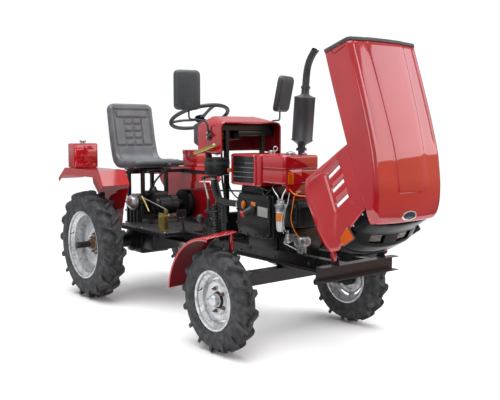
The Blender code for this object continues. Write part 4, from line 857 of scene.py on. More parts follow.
def panelField():
    # a rectangular grid whose lines run along the slots; cells in the slots are left out, and the strip behind
    # each slot slopes in towards it by rampDeep
    left, right, low, high = panel["field"]
    wide = panel["slotWide"]
    lines = [s + step for s in panel["slots"]
             for step in (-0.03, -0.012, 0, 0.004, wide - 0.004, wide, wide + 0.006)]
    a = np.unique(np.round([left, left + 0.008] + lines + [right - 0.008, right], 5))
    slotLow, slotHigh = panel["slotSpan"]
    b = np.array([low, low + 0.008, slotLow - 0.006, slotLow, slotLow + 0.006, 0.79, 0.811, 0.832, slotHigh - 0.006,
                  slotHigh, slotHigh + 0.006, high - 0.004, high])
    ramp = np.zeros_like(a)
    for x in panel["slots"]:
        ramp = np.maximum(ramp, np.where(a <= x + 1e-6, np.clip((a - x + 0.03) / 0.03, 0, 1), 0))
    inSlots = smoothStep(b, slotLow - 0.006, slotLow) * (1 - smoothStep(b, slotHigh, slotHigh + 0.006))
    gridA, gridB = np.meshgrid(a, b, indexing="ij")
    deep = panel["fieldDeep"] + ramp[:, None] * inSlots[None] * panel["rampDeep"]
    edgeDeep = np.minimum.reduce([gridA - left, right - gridA, gridB - low, high - gridB]) / 0.008
    deep = deep * np.clip(edgeDeep, 0, 1)
    x, z = panelSheared(gridA, gridB)
    middle = (a[:-1] + a[1:]) / 2
    inA = np.zeros(len(middle), bool)
    for s in panel["slots"]:
        inA |= (middle > s) & (middle < s + wide)
    middleB = (b[:-1] + b[1:]) / 2
    hole = inA[:, None] & ((middleB > slotLow) & (middleB < slotHigh))[None]
    faces = gridFaces(len(a), len(b))[~hole.ravel()]
    return np.stack([x, deep, z], -1), faces.tolist()


def panelRings(border):
    # rings from the field's border out to the outline: each border point runs out from the field's middle to the
    # outline along its own ray, and ring k lies inset_k in from the outline, sunk by deep_k
    outline = roundCorners(panel["outline"], np.array(panel["corners"]), 5)
    middle = border.mean(axis=0)
    ray = border - middle
    angle = np.arctan2(ray[:, 1], ray[:, 0])
    outs = outline - middle
    outAngle = np.arctan2(outs[:, 1], outs[:, 0])
    order = np.argsort(outAngle)
    outAngle, outs = outAngle[order], outs[order]
    share = np.interp(angle, np.concatenate([outAngle - 2 * math.pi, outAngle, outAngle + 2 * math.pi]),
                      np.arange(3 * len(outs)))
    closedLoop = np.concatenate([outs] * 3)
    far = middle + np.stack([np.interp(share, np.arange(len(closedLoop)), closedLoop[:, k]) for k in (0, 1)], 1)
    gap = np.linalg.norm(far - border, axis=1)[:, None]
    toward = (border - far) / gap
    # the lower and rear bands lean in towards their edge; the front and top bands stay flat on the shell and nose
    rearLow = smoothStep(-(far[:, :1] - 1.9) * 0.9 - (far[:, 1:] - 0.74), 0.0, 0.1)
    rings = [(0.0, 0.003 + 0.0055 * rearLow), (0.0022, 0.0008 + 0.0042 * rearLow), (0.006, 0.0036 * rearLow),
             (0.02, 0.0016 * rearLow), (0.036, 0.0 * rearLow), (0.041, 0.0014 * rearLow), (0.05, 0.003 * rearLow)]
    rows = []
    for inward, deep in rings:
        step = np.minimum(inward, 0.72 * gap)
        at = far + toward * step
        rows.append(np.column_stack([at[:, 0], deep[:, 0], at[:, 1]]))
    return np.array(rows)


fieldGrid, fieldFaces = panelField()
border = np.concatenate([fieldGrid[:-1, 0], fieldGrid[-1, :-1], fieldGrid[:0:-1, -1], fieldGrid[0, :0:-1]])
ringGrid = np.concatenate([panelRings(border[:, [0, 2]]), border[None]])
panelPart = joined([surface(ringGrid, wrapColumns=True), (fieldGrid.reshape(-1, 3), fieldFaces)])

for side, out in sides:
    points = panelPart[0].copy()
    points[:, 1] = out * (panel["face"] - points[:, 1])
    low, high = (0.188, 0.2) if out > 0 else (-0.2, -0.188)
    # inner wall in the darkened red: painted shade behind the panel
    makePiece("hood_panel_%s_pressing" % side, (openHood(points), panelPart[1]), redEnamel, "hood",
              stands="hood_panel_" + side, smooth=32, solidify=panel["wall"], inner=redPaintedShade, outside=(0, out, 0))
    arm = slab([(2.05, 0.61), (2.07, 0.575), (2.16, 0.535), (2.172, 0.54), (2.176, 0.55), (2.172, 0.562),
                (2.1, 0.606)], "Y", low, high, 0.001, 0.004)
    y0, y1 = sorted((out * 0.199, out * 0.2405))
    web = block((2.06, y0, 0.59), (2.1, y1, 0.596), 0.0005)
    makePiece("hood_hinge_arm_" + side, [opened(arm), opened(web)], redEnamel, "hood")
print("hood made")


# Nose: x = X(y) - share(y) * setBack(z), swept round the front from one side's back edge to the other's
nose = {
    # across, along, share of the set back, rise of the top edge
    "plan": [(0.2399, 2.03, 0, 0.045), (0.2399, 2.075, 0, 0.026), (0.2385, 2.104, 0.05, 0.002),
             (0.2335, 2.124, 0.22, 0.0), (0.222, 2.141, 0.42, 0.0), (0.195, 2.16, 0.65, 0.0),
             (0.15, 2.178, 0.85, 0.0), (0.1, 2.188, 0.95, 0), (0.05, 2.194, 0.99, 0), (0.0, 2.196, 1, 0)],
    "setBack": [(0.597, 0.022), (0.5985, 0.014), (0.606, 0.009), (0.64, 0.004), (0.7, 0.0), (0.748, 0.0015),
                (0.756, 0.005), (0.7635, 0.014), (0.8025, 0.044), (0.809, 0.047), (0.85, 0.052), (0.876, 0.057),
                (0.882, 0.06), (0.8845, 0.064), (0.887, 0.074)],
    "groove": (0.668, 0.68, 0.004), "lampY": (0.0485, 0.1485), "lampZ": (0.7635, 0.8025), "lampDeep": 0.026,
    "lampWall": 0.0016, "skin": 0.003, "frontFrom": 27,      # the point of the plan's line where its front begins
    "lensIn": 0.0105, "lensCrown": 0.002, "bowlIn": 0.015, "bowlDeep": 0.0095, "lensFrom": 24,
    "lensGap": 1.2,                                          # between the lens and the lamp's wall, in walls
    "turnLamp": [(2.07, 0.775), (2.143, 0.785), (2.147, 0.69), (2.098, 0.703)],
}
lampLow, lampHigh = nose["lampZ"]
nearY, farY = nose["lampY"]
lampWall = nose["lampWall"]
intoLamp = np.array([-0.8, 0, -0.6])


def noseShape(spot, z):
    # a point at `spot` along the plan (0 at the side's back edge) and level z, before lamps are let in
    y, x, share, rise = (np.interp(spot, np.linspace(0, 1, len(noseLine)), noseLine[:, k]) for k in range(4))
    levels = np.array(nose["setBack"])
    back = np.interp(z, levels[:, 0], levels[:, 1])
    low, high, deep = nose["groove"]
    back = back + deep * np.clip(1 - np.abs(z - (low + high) / 2) / (high - low) * 2, 0, 1)
    return np.stack(np.broadcast_arrays(x - share * back, y, z + rise * smoothStep(z, 0.845, 0.886)), -1)


noseLine = smoothPath(nose["plan"], 12)


def nosePart():
    # one half as a grid of places along the plan and levels, lamps let in by a clipped ramp, then its mirror image
    front = nose["frontFrom"]
    ys = np.array([0.238, 0.234, 0.228, 0.22, 0.21, 0.2, 0.188, 0.175, 0.163, 0.155, 0.1505, farY,
                   farY - lampWall, 0.135, 0.12, 0.105, 0.09, 0.075, 0.062, nearY + lampWall, nearY, 0.0465, 0.03, 0.0])
    byY = np.interp(-ys, -noseLine[front:, 0], np.linspace(0, 1, len(noseLine))[front:])
    spots = np.concatenate([np.linspace(0, byY[0], 8)[:-1], byY])[:, None]
    z = np.array([0.597, 0.5985, 0.602, 0.606, 0.615, 0.63, 0.645, 0.66, 0.668, 0.671, 0.674, 0.677, 0.68, 0.7,
                  0.72, 0.738, 0.748, 0.752, 0.756, 0.7605, lampLow, lampLow + lampWall, 0.774, 0.783, 0.792,
                  lampHigh - lampWall, lampHigh, 0.8055, 0.809, 0.83, 0.85, 0.866, 0.876, 0.882, 0.8845, 0.8862,
                  0.887])[None]
    grid = noseShape(spots, z)
    y = grid[..., 1]
    within = np.minimum.reduce([y - nearY, farY - y, z - lampLow + 0 * y, lampHigh - z + 0 * y])
    into = nose["lampDeep"] * np.clip(within / (lampWall * 0.99), 0, 1)
    grid = grid + into[..., None] * intoLamp
    # the deck runs from the top edge in under the shell: towards (2.06, 0.72 y) and 4 mm up
    edge = grid[:, -1]
    inner = np.stack([np.minimum(edge[:, 0] - 0.002, 2.06), 0.72 * edge[:, 1], edge[:, 2] + 0.004], 1)
    deck = edge[:, None] + np.array([0.06, 0.2, 0.6, 1.0])[None, :, None] * (inner - edge)[:, None]
    half = np.concatenate([grid, deck], axis=1)
    right = half * np.array([1, -1, 1])
    return np.concatenate([right, half[-2::-1]])


makePiece("nose_moulding", surface(openHood(nosePart())), glossAbs, "hood", stands="nose_grille", smooth=34,
          solidify=nose["skin"], outside=(0.95, 0, -0.3))

for side, out in sides:
    # lens a little below the rim, crowned by 2 mm, and a reflector with two bowls behind it
    s, t = np.meshgrid(np.linspace(0, 1, 15), np.linspace(0, 1, 9), indexing="ij")
    gap, first = nose["lensGap"] * lampWall, nose["lensFrom"]
    y = nearY + gap + s * (farY - nearY - 2 * gap)
    z = lampLow + gap + t * (lampHigh - lampLow - 2 * gap)
    spot = np.interp(-y, -noseLine[first:, 0], np.linspace(0, 1, len(noseLine))[first:])
    lensDeep = nose["lensIn"] - nose["lensCrown"] * (1 - (2 * s - 1) ** 4)
    lens = noseShape(spot, z) + lensDeep[..., None] * intoLamp
    dish = np.minimum(np.hypot(s - 0.27, (t - 0.5) * 0.42), np.hypot(s - 0.73, (t - 0.5) * 0.42)) / 0.26
    bowlDeep = nose["bowlIn"] + nose["bowlDeep"] * np.clip(1 - dish ** 2, 0, 1)
    bowls = noseShape(spot, z) + bowlDeep[..., None] * intoLamp
    flipY = np.array([1, out, 1])
    makePiece("headlamp_lens_" + side, surface(openHood(lens * flipY)), smokedLens, "hood", stands="headlamp_" + side,
              solidify=0.0012, outside=(0.95, 0, -0.3))
    makePiece("headlamp_bowls_" + side, surface(openHood(bowls * flipY)), lampChrome, "hood",
              solidify=0.0008, outside=(0.95, 0, -0.3))
    # turn lamp: amber lens on a black gasket, both standing on the panel
    span = sorted((out * 0.247, out * 0.2578))
    amber = slab(inset(nose["turnLamp"], 0.003), "Y", *span, edge=0.0035, corner=0.007, steps=3)
    makePiece("turn_lamp_lens_" + side, opened(amber), amberLens, "hood", stands="turn_lamp_" + side, smooth=30)
    span = sorted((out * 0.2435, out * 0.2472))
    gasket = slab(nose["turnLamp"], "Y", *span, edge=0.001, corner=0.008)
    places = openHood(np.array([[2.082, out * 0.257, 0.768], [2.134, out * 0.257, 0.703]]))
    screws = bolts(places, (0, out, 0), 0.004, washer=False)
    makePiece("turn_lamp_gasket_" + side, opened(gasket), sealRubber, "hood")
    makePiece("turn_lamp_screws_" + side, screws, brightZinc, "hood")
    places = openHood(np.array([[2.061, out * 0.2399, 0.879], [2.083, out * 0.2395, 0.8]]))
    sideBolts = bolts(places, (0, out, 0), 0.006)
    makePiece("nose_bolts_" + side, sideBolts, brightZinc, "hood")
print("nose made")


# Moulded seat: rows run from the pan's front over the bend and up the back; each row goes across the front skin
# and returns along the rear one: point = middle + d * thickness / 2, with d = sqrt(1 - ((|y| / w - 0.92) / 0.08)^2)
# at the rims
seat = {
    "front": [(0.183, 0.957), (0.177, 0.975), (0.16, 0.985), (0.1, 0.981), (0.01, 0.976), (-0.07, 0.976),
              (-0.118, 0.99), (-0.148, 1.02), (-0.17, 1.08), (-0.189, 1.15), (-0.204, 1.22), (-0.219, 1.29),
              (-0.232, 1.355), (-0.242, 1.391), (-0.253, 1.4055)],
    "rear": [(0.18, 0.948), (0.172, 0.934), (0.16, 0.929), (0.1, 0.925), (0.01, 0.919), (-0.1, 0.921),
             (-0.152, 0.936), (-0.19, 0.966), (-0.212, 1.02), (-0.23, 1.085), (-0.246, 1.16), (-0.26, 1.24),
             (-0.274, 1.325), (-0.284, 1.374), (-0.268, 1.403)],
    "half": 0.192, "topCorner": 0.052, "frontCorner": 0.045,
    "panel": (0.158, 1.078, 1.366, 0.009),                                # half width, low, high, depth
    "pads": [(-0.131, 0.131, 1.306, 1.352)] + [(y - 0.03, y + 0.03, z - 0.0185, z + 0.0185)
             for z in (1.272, 1.218, 1.164, 1.11) for y in (-0.037, 0.037)]
            + [(-0.148, -0.078, 1.092, 1.292), (0.078, 0.148, 1.092, 1.292)],
    "padHigh": 0.0125, "soft": 0.0028, "dish": 0.01,
}


def window(value, low, high, soft):
    # 1 between low and high, falling to 0 over `soft` on either side
    return smoothStep(value, low - soft, low + soft) * (1 - smoothStep(value, high - soft, high + soft))


def rimRound(share):
    # d of the note above, for shares of the half width
    return np.sqrt(np.clip(1 - (np.clip(np.abs(share) - 0.92, 0, 1) / 0.08) ** 2, 0, 1))[None]


def seatPart():
    # the front skin is raised along its normal by the pads and bolsters, and lowered by the panel, dish and groove
    front, rear = smoothPath(seat["front"], 12), smoothPath(seat["rear"], 12)
    arc = np.concatenate([[0], np.cumsum(np.linalg.norm(np.diff((front + rear) / 2, axis=0), axis=1))])
    at = np.arange(0, arc[-1] + 0.0015, 0.0035)
    at = np.unique(np.concatenate([[0, 0.002], at[at > 0.004][:-2], [arc[-1] - 0.003, arc[-1]]]))
    front, rear = (np.stack([np.interp(at, arc, c[:, k]) for k in (0, 1)], 1) for c in (front, rear))
    middle, across = (front + rear) / 2, (front - rear) / 2
    top = 1 - np.clip((arc[-1] - at) / seat["topCorner"], 0, 1)
    lip = 1 - np.clip(at / seat["frontCorner"], 0, 1)
    half = (seat["half"] - seat["topCorner"] * (1 - np.sqrt(1 - top ** 2))
            - 0.6 * seat["frontCorner"] * (1 - np.sqrt(1 - lip ** 2)))[:, None]
    share = np.concatenate([np.linspace(-1, -0.93, 7)[:-1], np.linspace(-0.93, 0.93, 105), np.linspace(0.93, 1, 7)[1:]])
    bulge = rimRound(share)
    y = share[None] * half
    z = front[:, 1:]
    wide, low, high, deep = seat["panel"]
    onBack = smoothStep(at[:, None], 0.34, 0.37)
    relief = -deep * window(y, -wide, wide, 0.004) * window(z, low, high, 0.004)
    for y0, y1, z0, z1 in seat["pads"]:
        relief = relief + seat["padHigh"] * window(y, y0, y1, seat["soft"]) * window(z, z0, z1, seat["soft"])
    relief = relief * onBack
    along = front[:, :1]
    hollow = seat["dish"] * (1 - np.clip(np.abs(y) / 0.165, 0, 1) ** 2) * window(along, -0.1, 0.125, 0.03)
    groove = 0.006 * window(along, 0.128, 0.134, 0.003) * window(y, -0.15, 0.15, 0.01)
    relief = relief - (hollow + groove) * (1 - onBack)
    bolster = 0.008 * window(np.abs(y), 0.15, 0.182, 0.012) * smoothStep(at[:, None], 0.05, 0.12) * \
        (1 - smoothStep(at[:, None], arc[-1] - 0.06, arc[-1] - 0.02))
    normal = across / np.maximum(np.linalg.norm(across, axis=1, keepdims=True), 1e-6)
    skin = middle[:, None] + across[:, None] * bulge[..., None] + normal[:, None] * (relief + bolster)[..., None] * \
        bulge[..., None]
    few = np.concatenate([share[:7], np.linspace(-0.9, 0.9, 13), share[-7:]])[::-1][1:-1]
    shell = middle[:, None] - across[:, None] * rimRound(few)[..., None]
    whole = np.concatenate([skin, shell], axis=1)
    allY = np.concatenate([y, few[None] * half], axis=1)
    return surface(np.stack([whole[..., 0], allY, whole[..., 1]], -1), wrapColumns=True, caps=True)


seatPiece = makePiece("seat_moulded_foam", seatPart(), seatSkin, stands="seat", smooth=60)
# slide rails under the pan, and bolts
rails = [block((-0.11, y - 0.014, 0.9035), (0.15, y + 0.014, 0.9178), 0.002) for y in (-0.105, 0.105)]
makePiece("seat_slide_rails", rails, blackSatin)
spots = np.array([(x, y, 0.9035) for x in (-0.09, 0.11) for y in (-0.06, 0.06)])
makePiece("seat_bolts", bolts(spots, (0, 0, -1), 0.012), brightZinc)
print("seat made")


# Cowl: rings round a U-shaped plan (right wall, back, left wall) that climb the walls and then close over the roof,
# whose height is the lower of a fore-and-aft profile and two side slopes, blended over 10 mm
cowl = {"back": 1.004, "front": 1.262, "half": 0.236, "low": 1.057, "hump": 0.162, "ridge": 1.289, "shoulder": 1.232,
        "profile": [(1.004, 1.202), (1.03, 1.236), (1.06, 1.272), (1.084, 1.287), (1.11, 1.2835), (1.18, 1.268),
                    (1.262, 1.25)],
        "round": 0.016, "corner": 0.03, "blend": 0.01, "wall": 0.002, "lip": 0.011}


def cowlRoof(x, y):
    # smooth minimum of the two heights: m - k/4 (1 - |a - b| / k)^2 where they are within k
    profile = np.array(cowl["profile"])
    a = np.interp(x, profile[:, 0], profile[:, 1])
    slope = (cowl["ridge"] - cowl["shoulder"]) / (cowl["half"] - cowl["hump"])
    b = cowl["ridge"] - slope * np.maximum(np.abs(y) - cowl["hump"], -1)
    k = cowl["blend"]
    return np.minimum(a, b) - k / 4 * np.clip(1 - np.abs(a - b) / k, 0, 1) ** 2


def cowlPart():
    # each ring of the roof lies a share t of the way from the plan in to the spine, its edge dropped by a quarter
    # circle: r - sqrt(r^2 - (r - d)^2) at distance d from the edge
    c, h, r = cowl["corner"], cowl["half"], cowl["round"]
    side = np.linspace(cowl["front"], cowl["back"] + c, 14)
    a = np.linspace(0, math.pi / 2, 7)[1:-1]
    back = np.linspace(-(h - c), h - c, 25)
    right = np.stack([side, -h + 0 * side], 1)
    bend = np.stack([cowl["back"] + c - c * np.sin(a), -h + c - c * np.cos(a)], 1)
    plan = np.concatenate([right, bend, np.stack([cowl["back"] + 0 * back, back], 1),
                           (bend * (1, -1))[::-1], (right * (1, -1))[::-1]])
    spine = np.stack([np.maximum(plan[:, 0], 1.11), 0 * plan[:, 1]], 1)
    inward = np.concatenate([[0.0005, 0.002, 0.005, 0.009, r], np.linspace(0.028, h, 16)]) / h
    roof = []
    for t in inward:
        at = plan + t * (spine - plan)
        d = min(t * h, r)
        roof.append(np.column_stack([at, cowlRoof(at[:, 0], at[:, 1]) - (r - math.sqrt(r * r - (r - d) ** 2))]))
    start = roof[0][:, 2]
    low = cowl["low"] + 0.012 * smoothStep(-plan[:, 0], -1.2, -1.03)
    walls = [np.column_stack([plan, low + (start - low) * t]) for t in np.linspace(0, 1, 9)[:-1]]
    grid = np.array(walls + roof).transpose(1, 0, 2)
    # the front edge is turned in: towards the middle of the opening
    inwards = np.array([cowl["front"], 0, 1.12]) - grid[[0, -1]]
    inwards /= np.linalg.norm(inwards, axis=-1, keepdims=True)
    bend = grid[[0, -1]] + inwards * 0.002 + np.array([0.0015, 0, 0])
    lip = grid[[0, -1]] + inwards * cowl["lip"]
    return surface(np.concatenate([lip[:1], bend[:1], grid, bend[1:], lip[1:]]))


# inner wall in the darkened red: painted shade under the cowl
makePiece("cowl_pressing", cowlPart(), redEnamel, stands="dash_cowl", smooth=48, solidify=cowl["wall"],
          inner=redPaintedShade, outside=(-0.3, 0, 1))

# instruments behind the dash: two gauge cans, a fuse box, a bracket strip and looms hanging from them
gauges = [lathe([(0, 0), (0.034, 0), (0.036, 0.003), (0.036, 0.04), (0.03, 0.046), (0.01, 0.047), (0.009, 0.056),
                 (0, 0.056)], 28, (1.012, y, 1.185), (1, 0, -0.15)) for y in (-0.06, 0.06)]
makePiece("gauge_cans", gauges, blackCasting)
boxes = [block((1.12, -0.205, 1.15), (1.17, -0.16, 1.2), 0.003),
         block((1.12, -0.15, 1.17), (1.16, -0.118, 1.205), 0.003),
         block((1.172, -0.06, 1.165), (1.2065, 0.215, 1.1975), 0.004),
         block((1.13, 0.12, 1.165), (1.17, 0.185, 1.2), 0.003)]
makePiece("dash_relays", boxes, blackCasting)
terminals = [block((1.171, -0.17, 1.15), (1.178, -0.12, 1.19), 0.001),
             bolts([(1.178, -0.158, 1.18), (1.178, -0.132, 1.16)], (1, 0, 0), 0.008)]
makePiece("dash_terminals", terminals, yellowZinc)
looms = [tube(smoothPath(path, 8), r, 8) for path, r in (
    ([(1.06, -0.06, 1.18), (1.11, -0.085, 1.165), (1.15, -0.12, 1.15), (1.172, -0.16, 1.12),
      (1.172, -0.163, 1.0), (1.18, -0.165, 0.9), (1.2, -0.163, 0.8), (1.215, -0.155, 0.64)], 0.006),
    ([(1.06, 0.06, 1.18), (1.11, 0.02, 1.15), (1.15, -0.06, 1.145), (1.174, -0.12, 1.125),
      (1.176, -0.118, 0.98), (1.19, -0.12, 0.86), (1.26, -0.122, 0.8), (1.33, -0.13, 0.79)], 0.0045),
    ([(1.14, -0.18, 1.15), (1.15, -0.19, 1.11), (1.17, -0.196, 1.08), (1.176, -0.18, 1.06)], 0.003))]
makePiece("dash_looms", looms, hoseRubber)
straps = [lathe([(0.0066, -0.002), (0.0082, -0.0015), (0.0082, 0.0015), (0.0066, 0.002)], 12, (1.1735, -0.1635, z),
                (0.06, 0, -1), closed=True) for z in (1.05, 0.98)]
makePiece("loom_straps", straps, brightZinc)

mirror = {
    "at": (1.11, 0.368), "low": 1.32, "high": 1.556, "half": 0.08, "thick": 0.019, "corner": 0.034,
    "toe": math.radians(-17), "tip": {"right": 0, "left": math.radians(12)},        # each head's top leans ahead
    # share of the outline, depth in thicknesses
    "shell": [(0.0, 1), (0.3, 1), (0.6, 0.99), (0.8, 0.93), (0.92, 0.7), (0.985, 0.3), (1.0, -0.2), (1.0, -0.86),
              (0.985, -1), (0.955, -1), (0.95, -0.84)],
    # inset, height past the back's highest point
    "socket": [(0, -0.0019), (0, 0.001), (0.0012, 0.0018), (0.0035, 0.0018)],
    "arm": [(1.15, 0.2475, 1.15), (1.15, 0.249, 1.215), (1.146, 0.253, 1.24), (1.134, 0.268, 1.256),
            (1.12, 0.3, 1.2625), (1.112, 0.344, 1.266), (1.11, 0.356, 1.276), (1.11, 0.358, 1.296),
            (1.11, 0.358, 1.33)],
    # the clamp's plate and two ears: from, to, each drawn on the left
    "clamp": [((1.136, 0.2365, 1.14), (1.164, 0.244, 1.2)), ((1.141, 0.244, 1.15), (1.159, 0.2555, 1.162)),
              ((1.141, 0.244, 1.18), (1.159, 0.2555, 1.192))],
    "knob": [(0, 0), (0.01, 0), (0.012, 0.003), (0.012, 0.01), (0.009, 0.013), (0, 0.013)],
}
for side, out in sides:
    # head: the back swells towards the middle, x = -t (1 - |u|^2.4)(1 - |v|^2.4)^0.6, and the glass lies in a rim
    tall = (mirror["high"] - mirror["low"]) / 2
    outline = roundCorners(rectangle(-mirror["half"], -tall, mirror["half"], tall), mirror["corner"], 6)
    t = mirror["thick"]
    grid = np.array([np.column_stack([outline * k, np.full(len(outline), t * d)]) for k, d in mirror["shell"]])
    glassGrid = np.array([np.column_stack([outline * k, np.full(len(outline), -0.84 * t - 0.0004 + 0.0003 * k)])
                          for k in (0.0, 0.5, 0.945)])
    toe, tip = mirror["toe"], mirror["tip"][side]
    forward = np.array([math.cos(toe), -out * math.sin(toe), 0])      # the back looks ahead, the glass to the driver
    across = np.cross((0, 0, 1), forward)
    upright = math.cos(tip) * np.array([0, 0, 1]) + math.sin(tip) * forward
    basis = np.stack([across, upright, np.cross(across, upright)], axis=1)
    centre = np.array([mirror["at"][0], out * mirror["at"][1], mirror["low"]]) + tall * upright
    recess = roundCorners(rectangle(-0.03, -0.1, 0.03, -0.052), 0.004, 3)
    plate = np.array([np.column_stack([inset(recess, i), np.full(len(recess), t + h)]) for i, h in mirror["socket"]])
    for name, part, finish in (("mirror_shell_", surface(grid, wrapColumns=True), mouldedBlack),
                               ("mirror_glass_", surface(glassGrid, wrapColumns=True), mirrorGlass),
                               ("mirror_socket_", surface(plate, wrapColumns=True, caps=True), mouldedBlack)):
        makePiece(name + side, moved(part, centre, basis), finish, smooth=50,
                  stands="mirror_" + side if name == "mirror_shell_" else None,
                  outside=-forward if name == "mirror_glass_" else None)
    arm = [tube(smoothPath(np.array(mirror["arm"]) * (1, out, 1), 6), 0.0055, 12)]
    for low, high in np.array(mirror["clamp"]) * (1, out, 1):
        arm.append(block(np.minimum(low, high), np.maximum(low, high), 0.002))
    makePiece("mirror_arm_" + side, arm, blackSatin)
    knob = lathe(mirror["knob"], 6, (1.168, out * 0.25, 1.171), (1, 0, 0))
    makePiece("mirror_knob_" + side, knob, mouldedBlack)
    clampBolts = bolts([(1.15, out * 0.2555, z) for z in (1.156, 1.186)], (0, out, 0), 0.008)
    makePiece("mirror_bolts_" + side, clampBolts, brightZinc)

# steering wheel: rim with finger grips inside, r = r0 + 0.7 mm cos 32 a on its inner half; three flat spokes; cap
wheelAt, lean, wheelR = np.array([0.7, 0, 1.289]), math.radians(22.48), 0.195
axisUp = np.array([-math.sin(lean), 0, math.cos(lean)])
a, b = np.meshgrid(np.linspace(0, 2 * math.pi, 160, endpoint=False), np.linspace(0, 2 * math.pi, 16, endpoint=False),
                   indexing="ij")
thick = 0.0128 + 0.0007 * np.cos(32 * a) * np.clip(-np.cos(b), 0, 1)
reach = wheelR + thick * np.cos(b)
ring = np.stack([reach * np.cos(a), reach * np.sin(a), thick * np.sin(b)], -1)
parts = [surface(ring, wrapRows=True, wrapColumns=True)]
for k in (0, 120, 240):
    c, s = math.cos(math.radians(k)), math.sin(math.radians(k))
    reach = np.linspace(0.02, wheelR - 0.004, 9)
    widths = np.interp(reach, [0.02, 0.08, 0.19], [0.017, 0.01, 0.013])
    ringOf = roundCorners(rectangle(-1, -0.0045, 1, 0.0045), 0.003, 2)
    dip = -0.012 * (1 - smoothStep(reach, 0.03, 0.15))
    spoke = np.array([[(r * c - w * p[0] * s, r * s + w * p[0] * c, d + p[1]) for p in ringOf]
                      for r, w, d in zip(reach, widths, dip)])
    parts.append(surface(spoke, wrapColumns=True, caps=True))
hub = lathe([(0, -0.064), (0.0088, -0.064), (0.0088, -0.034), (0.022, -0.032), (0.031, -0.024), (0.033, 0.0),
             (0.03, 0.005), (0.0285, 0.0045), (0.026, 0.006), (0.015, 0.0078), (0, 0.008)], 36)
turnWheel = turnTo(axisUp, (1, 0, 0.4))
makePiece("steering_wheel_moulded", [moved(p, wheelAt, turnWheel) for p in parts], mouldedBlack, "steering_wheel",
          stands="steering_wheel", smooth=45)
makePiece("steering_hub_cap", moved(hub, wheelAt, turnWheel), glossAbs, "steering_wheel")
print("dash made")


# Exhaust: the radius changes with height along a centre line that bends only at the tail pipe's end
exhaust = {
    "elbow": [(1.7, 0.1003, 0.745), (1.7, 0.118, 0.745), (1.699, 0.14, 0.746), (1.69, 0.17, 0.752),
              (1.64, 0.225, 0.79), (1.52, 0.285, 0.86), (1.41, 0.32, 0.93), (1.362, 0.33, 1.0),
              (1.353, 0.33, 1.05), (1.3515, 0.33, 1.076)], "elbowRadius": 0.0215,
    "line": [(1.3515, 0.33, 1.0765), (1.352, 0.33, 1.1), (1.357, 0.33, 1.14), (1.369, 0.33, 1.275),
             (1.381, 0.33, 1.41), (1.386, 0.33, 1.465), (1.392, 0.33, 1.53), (1.402, 0.329, 1.58),
             (1.421, 0.3265, 1.622), (1.45, 0.323, 1.658), (1.482, 0.319, 1.686)],
    "can": [(1.0765, 0.0), (1.0766, 0.034), (1.0845, 0.034), (1.0849, 0.024), (1.1, 0.024), (1.11, 0.0275),
            (1.1325, 0.0605), (1.135, 0.0665), (1.1385, 0.0682), (1.142, 0.0668), (1.145, 0.0652),
            (1.2705, 0.0655), (1.396, 0.0652), (1.399, 0.0668), (1.4025, 0.0682), (1.406, 0.0665),
            (1.4085, 0.06), (1.416, 0.036), (1.423, 0.027), (1.43, 0.025), (1.46, 0.025), (1.4601, 0.0)],
    "pipeFrom": 1.455, "pipeRadius": 0.0225, "pipeWall": 0.0018, "slant": 0.9,
    "seam": ((1.3575, 1.38), (1.146, 1.395), 0.0016), "footAt": (1.3515, 0.33, 1.0764),
    "clampAt": (1.3862, 0.33, 1.466),
}


def openPipe(path, radius, wall, deep, sides=20, slant=0.0):
    # outer skin to the mouth, then back down the bore for `deep` points; the mouth is cut at a slant
    _, n, b = framesAlong(path)
    a = np.linspace(0, 2 * math.pi, sides, endpoint=False)[None, :, None]
    ring = np.cos(a) * n[:, None] + np.sin(a) * b[:, None]
    r = np.broadcast_to(np.asarray(radius, float), (len(path),))[:, None, None]
    tangent = np.gradient(path, axis=0)[-1:, None]
    tangent /= np.linalg.norm(tangent)
    cut = slant * r[-1:] * ring[-1:, :, 2:]
    outer, inner = path[:, None] + r * ring, path[:, None] + (r - wall) * ring
    outer[-1:] -= cut * tangent
    inner[-1:] -= cut * tangent
    return surface(np.concatenate([outer, inner[:-deep - 1:-1]]), wrapColumns=True, caps=True)


line = smoothPath(exhaust["line"], 10)
heights, radii = np.array(exhaust["can"]).T
canLine = np.column_stack([np.interp(heights, line[:, 2], line[:, k]) for k in (0, 1)] + [heights])
tail = line[line[:, 2] > exhaust["pipeFrom"]]
count = np.arange(len(tail))
swell = exhaust["pipeRadius"] - 0.001 * smoothStep(count, 10, 25) + 0.0015 * smoothStep(count, len(tail) - 8, len(tail))
seamX, seamZ, seamRadius = exhaust["seam"]
seam = np.stack([np.linspace(*seamX, 12), np.full(12, 0.33 - 0.0655), np.linspace(*seamZ, 12)], 1)
makePiece("exhaust_silencer", [tube(canLine, radii, 40, caps=False),
                               openPipe(tail, swell, exhaust["pipeWall"], 12, 24, exhaust["slant"]),
                               tube(seam, seamRadius, 8)], heatBlack, stands="exhaust", smooth=30)
elbow = [tube(smoothPath(exhaust["elbow"], 8), exhaust["elbowRadius"], 20),
         slab(roundCorners(rectangle(1.662, 0.722, 1.738, 0.768), 0.014), "Y", 0.1003, 0.11, 0.001),
         lathe([(0, -0.004), (0.035, -0.004), (0.035, 0.0), (0, 0.0)], 28, exhaust["footAt"])]
makePiece("exhaust_elbow", elbow, heatBlack, smooth=30)
clamp = [lathe([(0.0255, -0.008), (0.0295, -0.0075), (0.0295, 0.0075), (0.0255, 0.008)], 28, exhaust["clampAt"],
               (0.09, 0, 1), closed=True)]
clamp += [block((1.35, y, 1.4585), (1.3605, y + 0.003, 1.4735), 0.001) for y in (0.327, 0.3335)]
makePiece("exhaust_clamp", clamp, heatBlack)
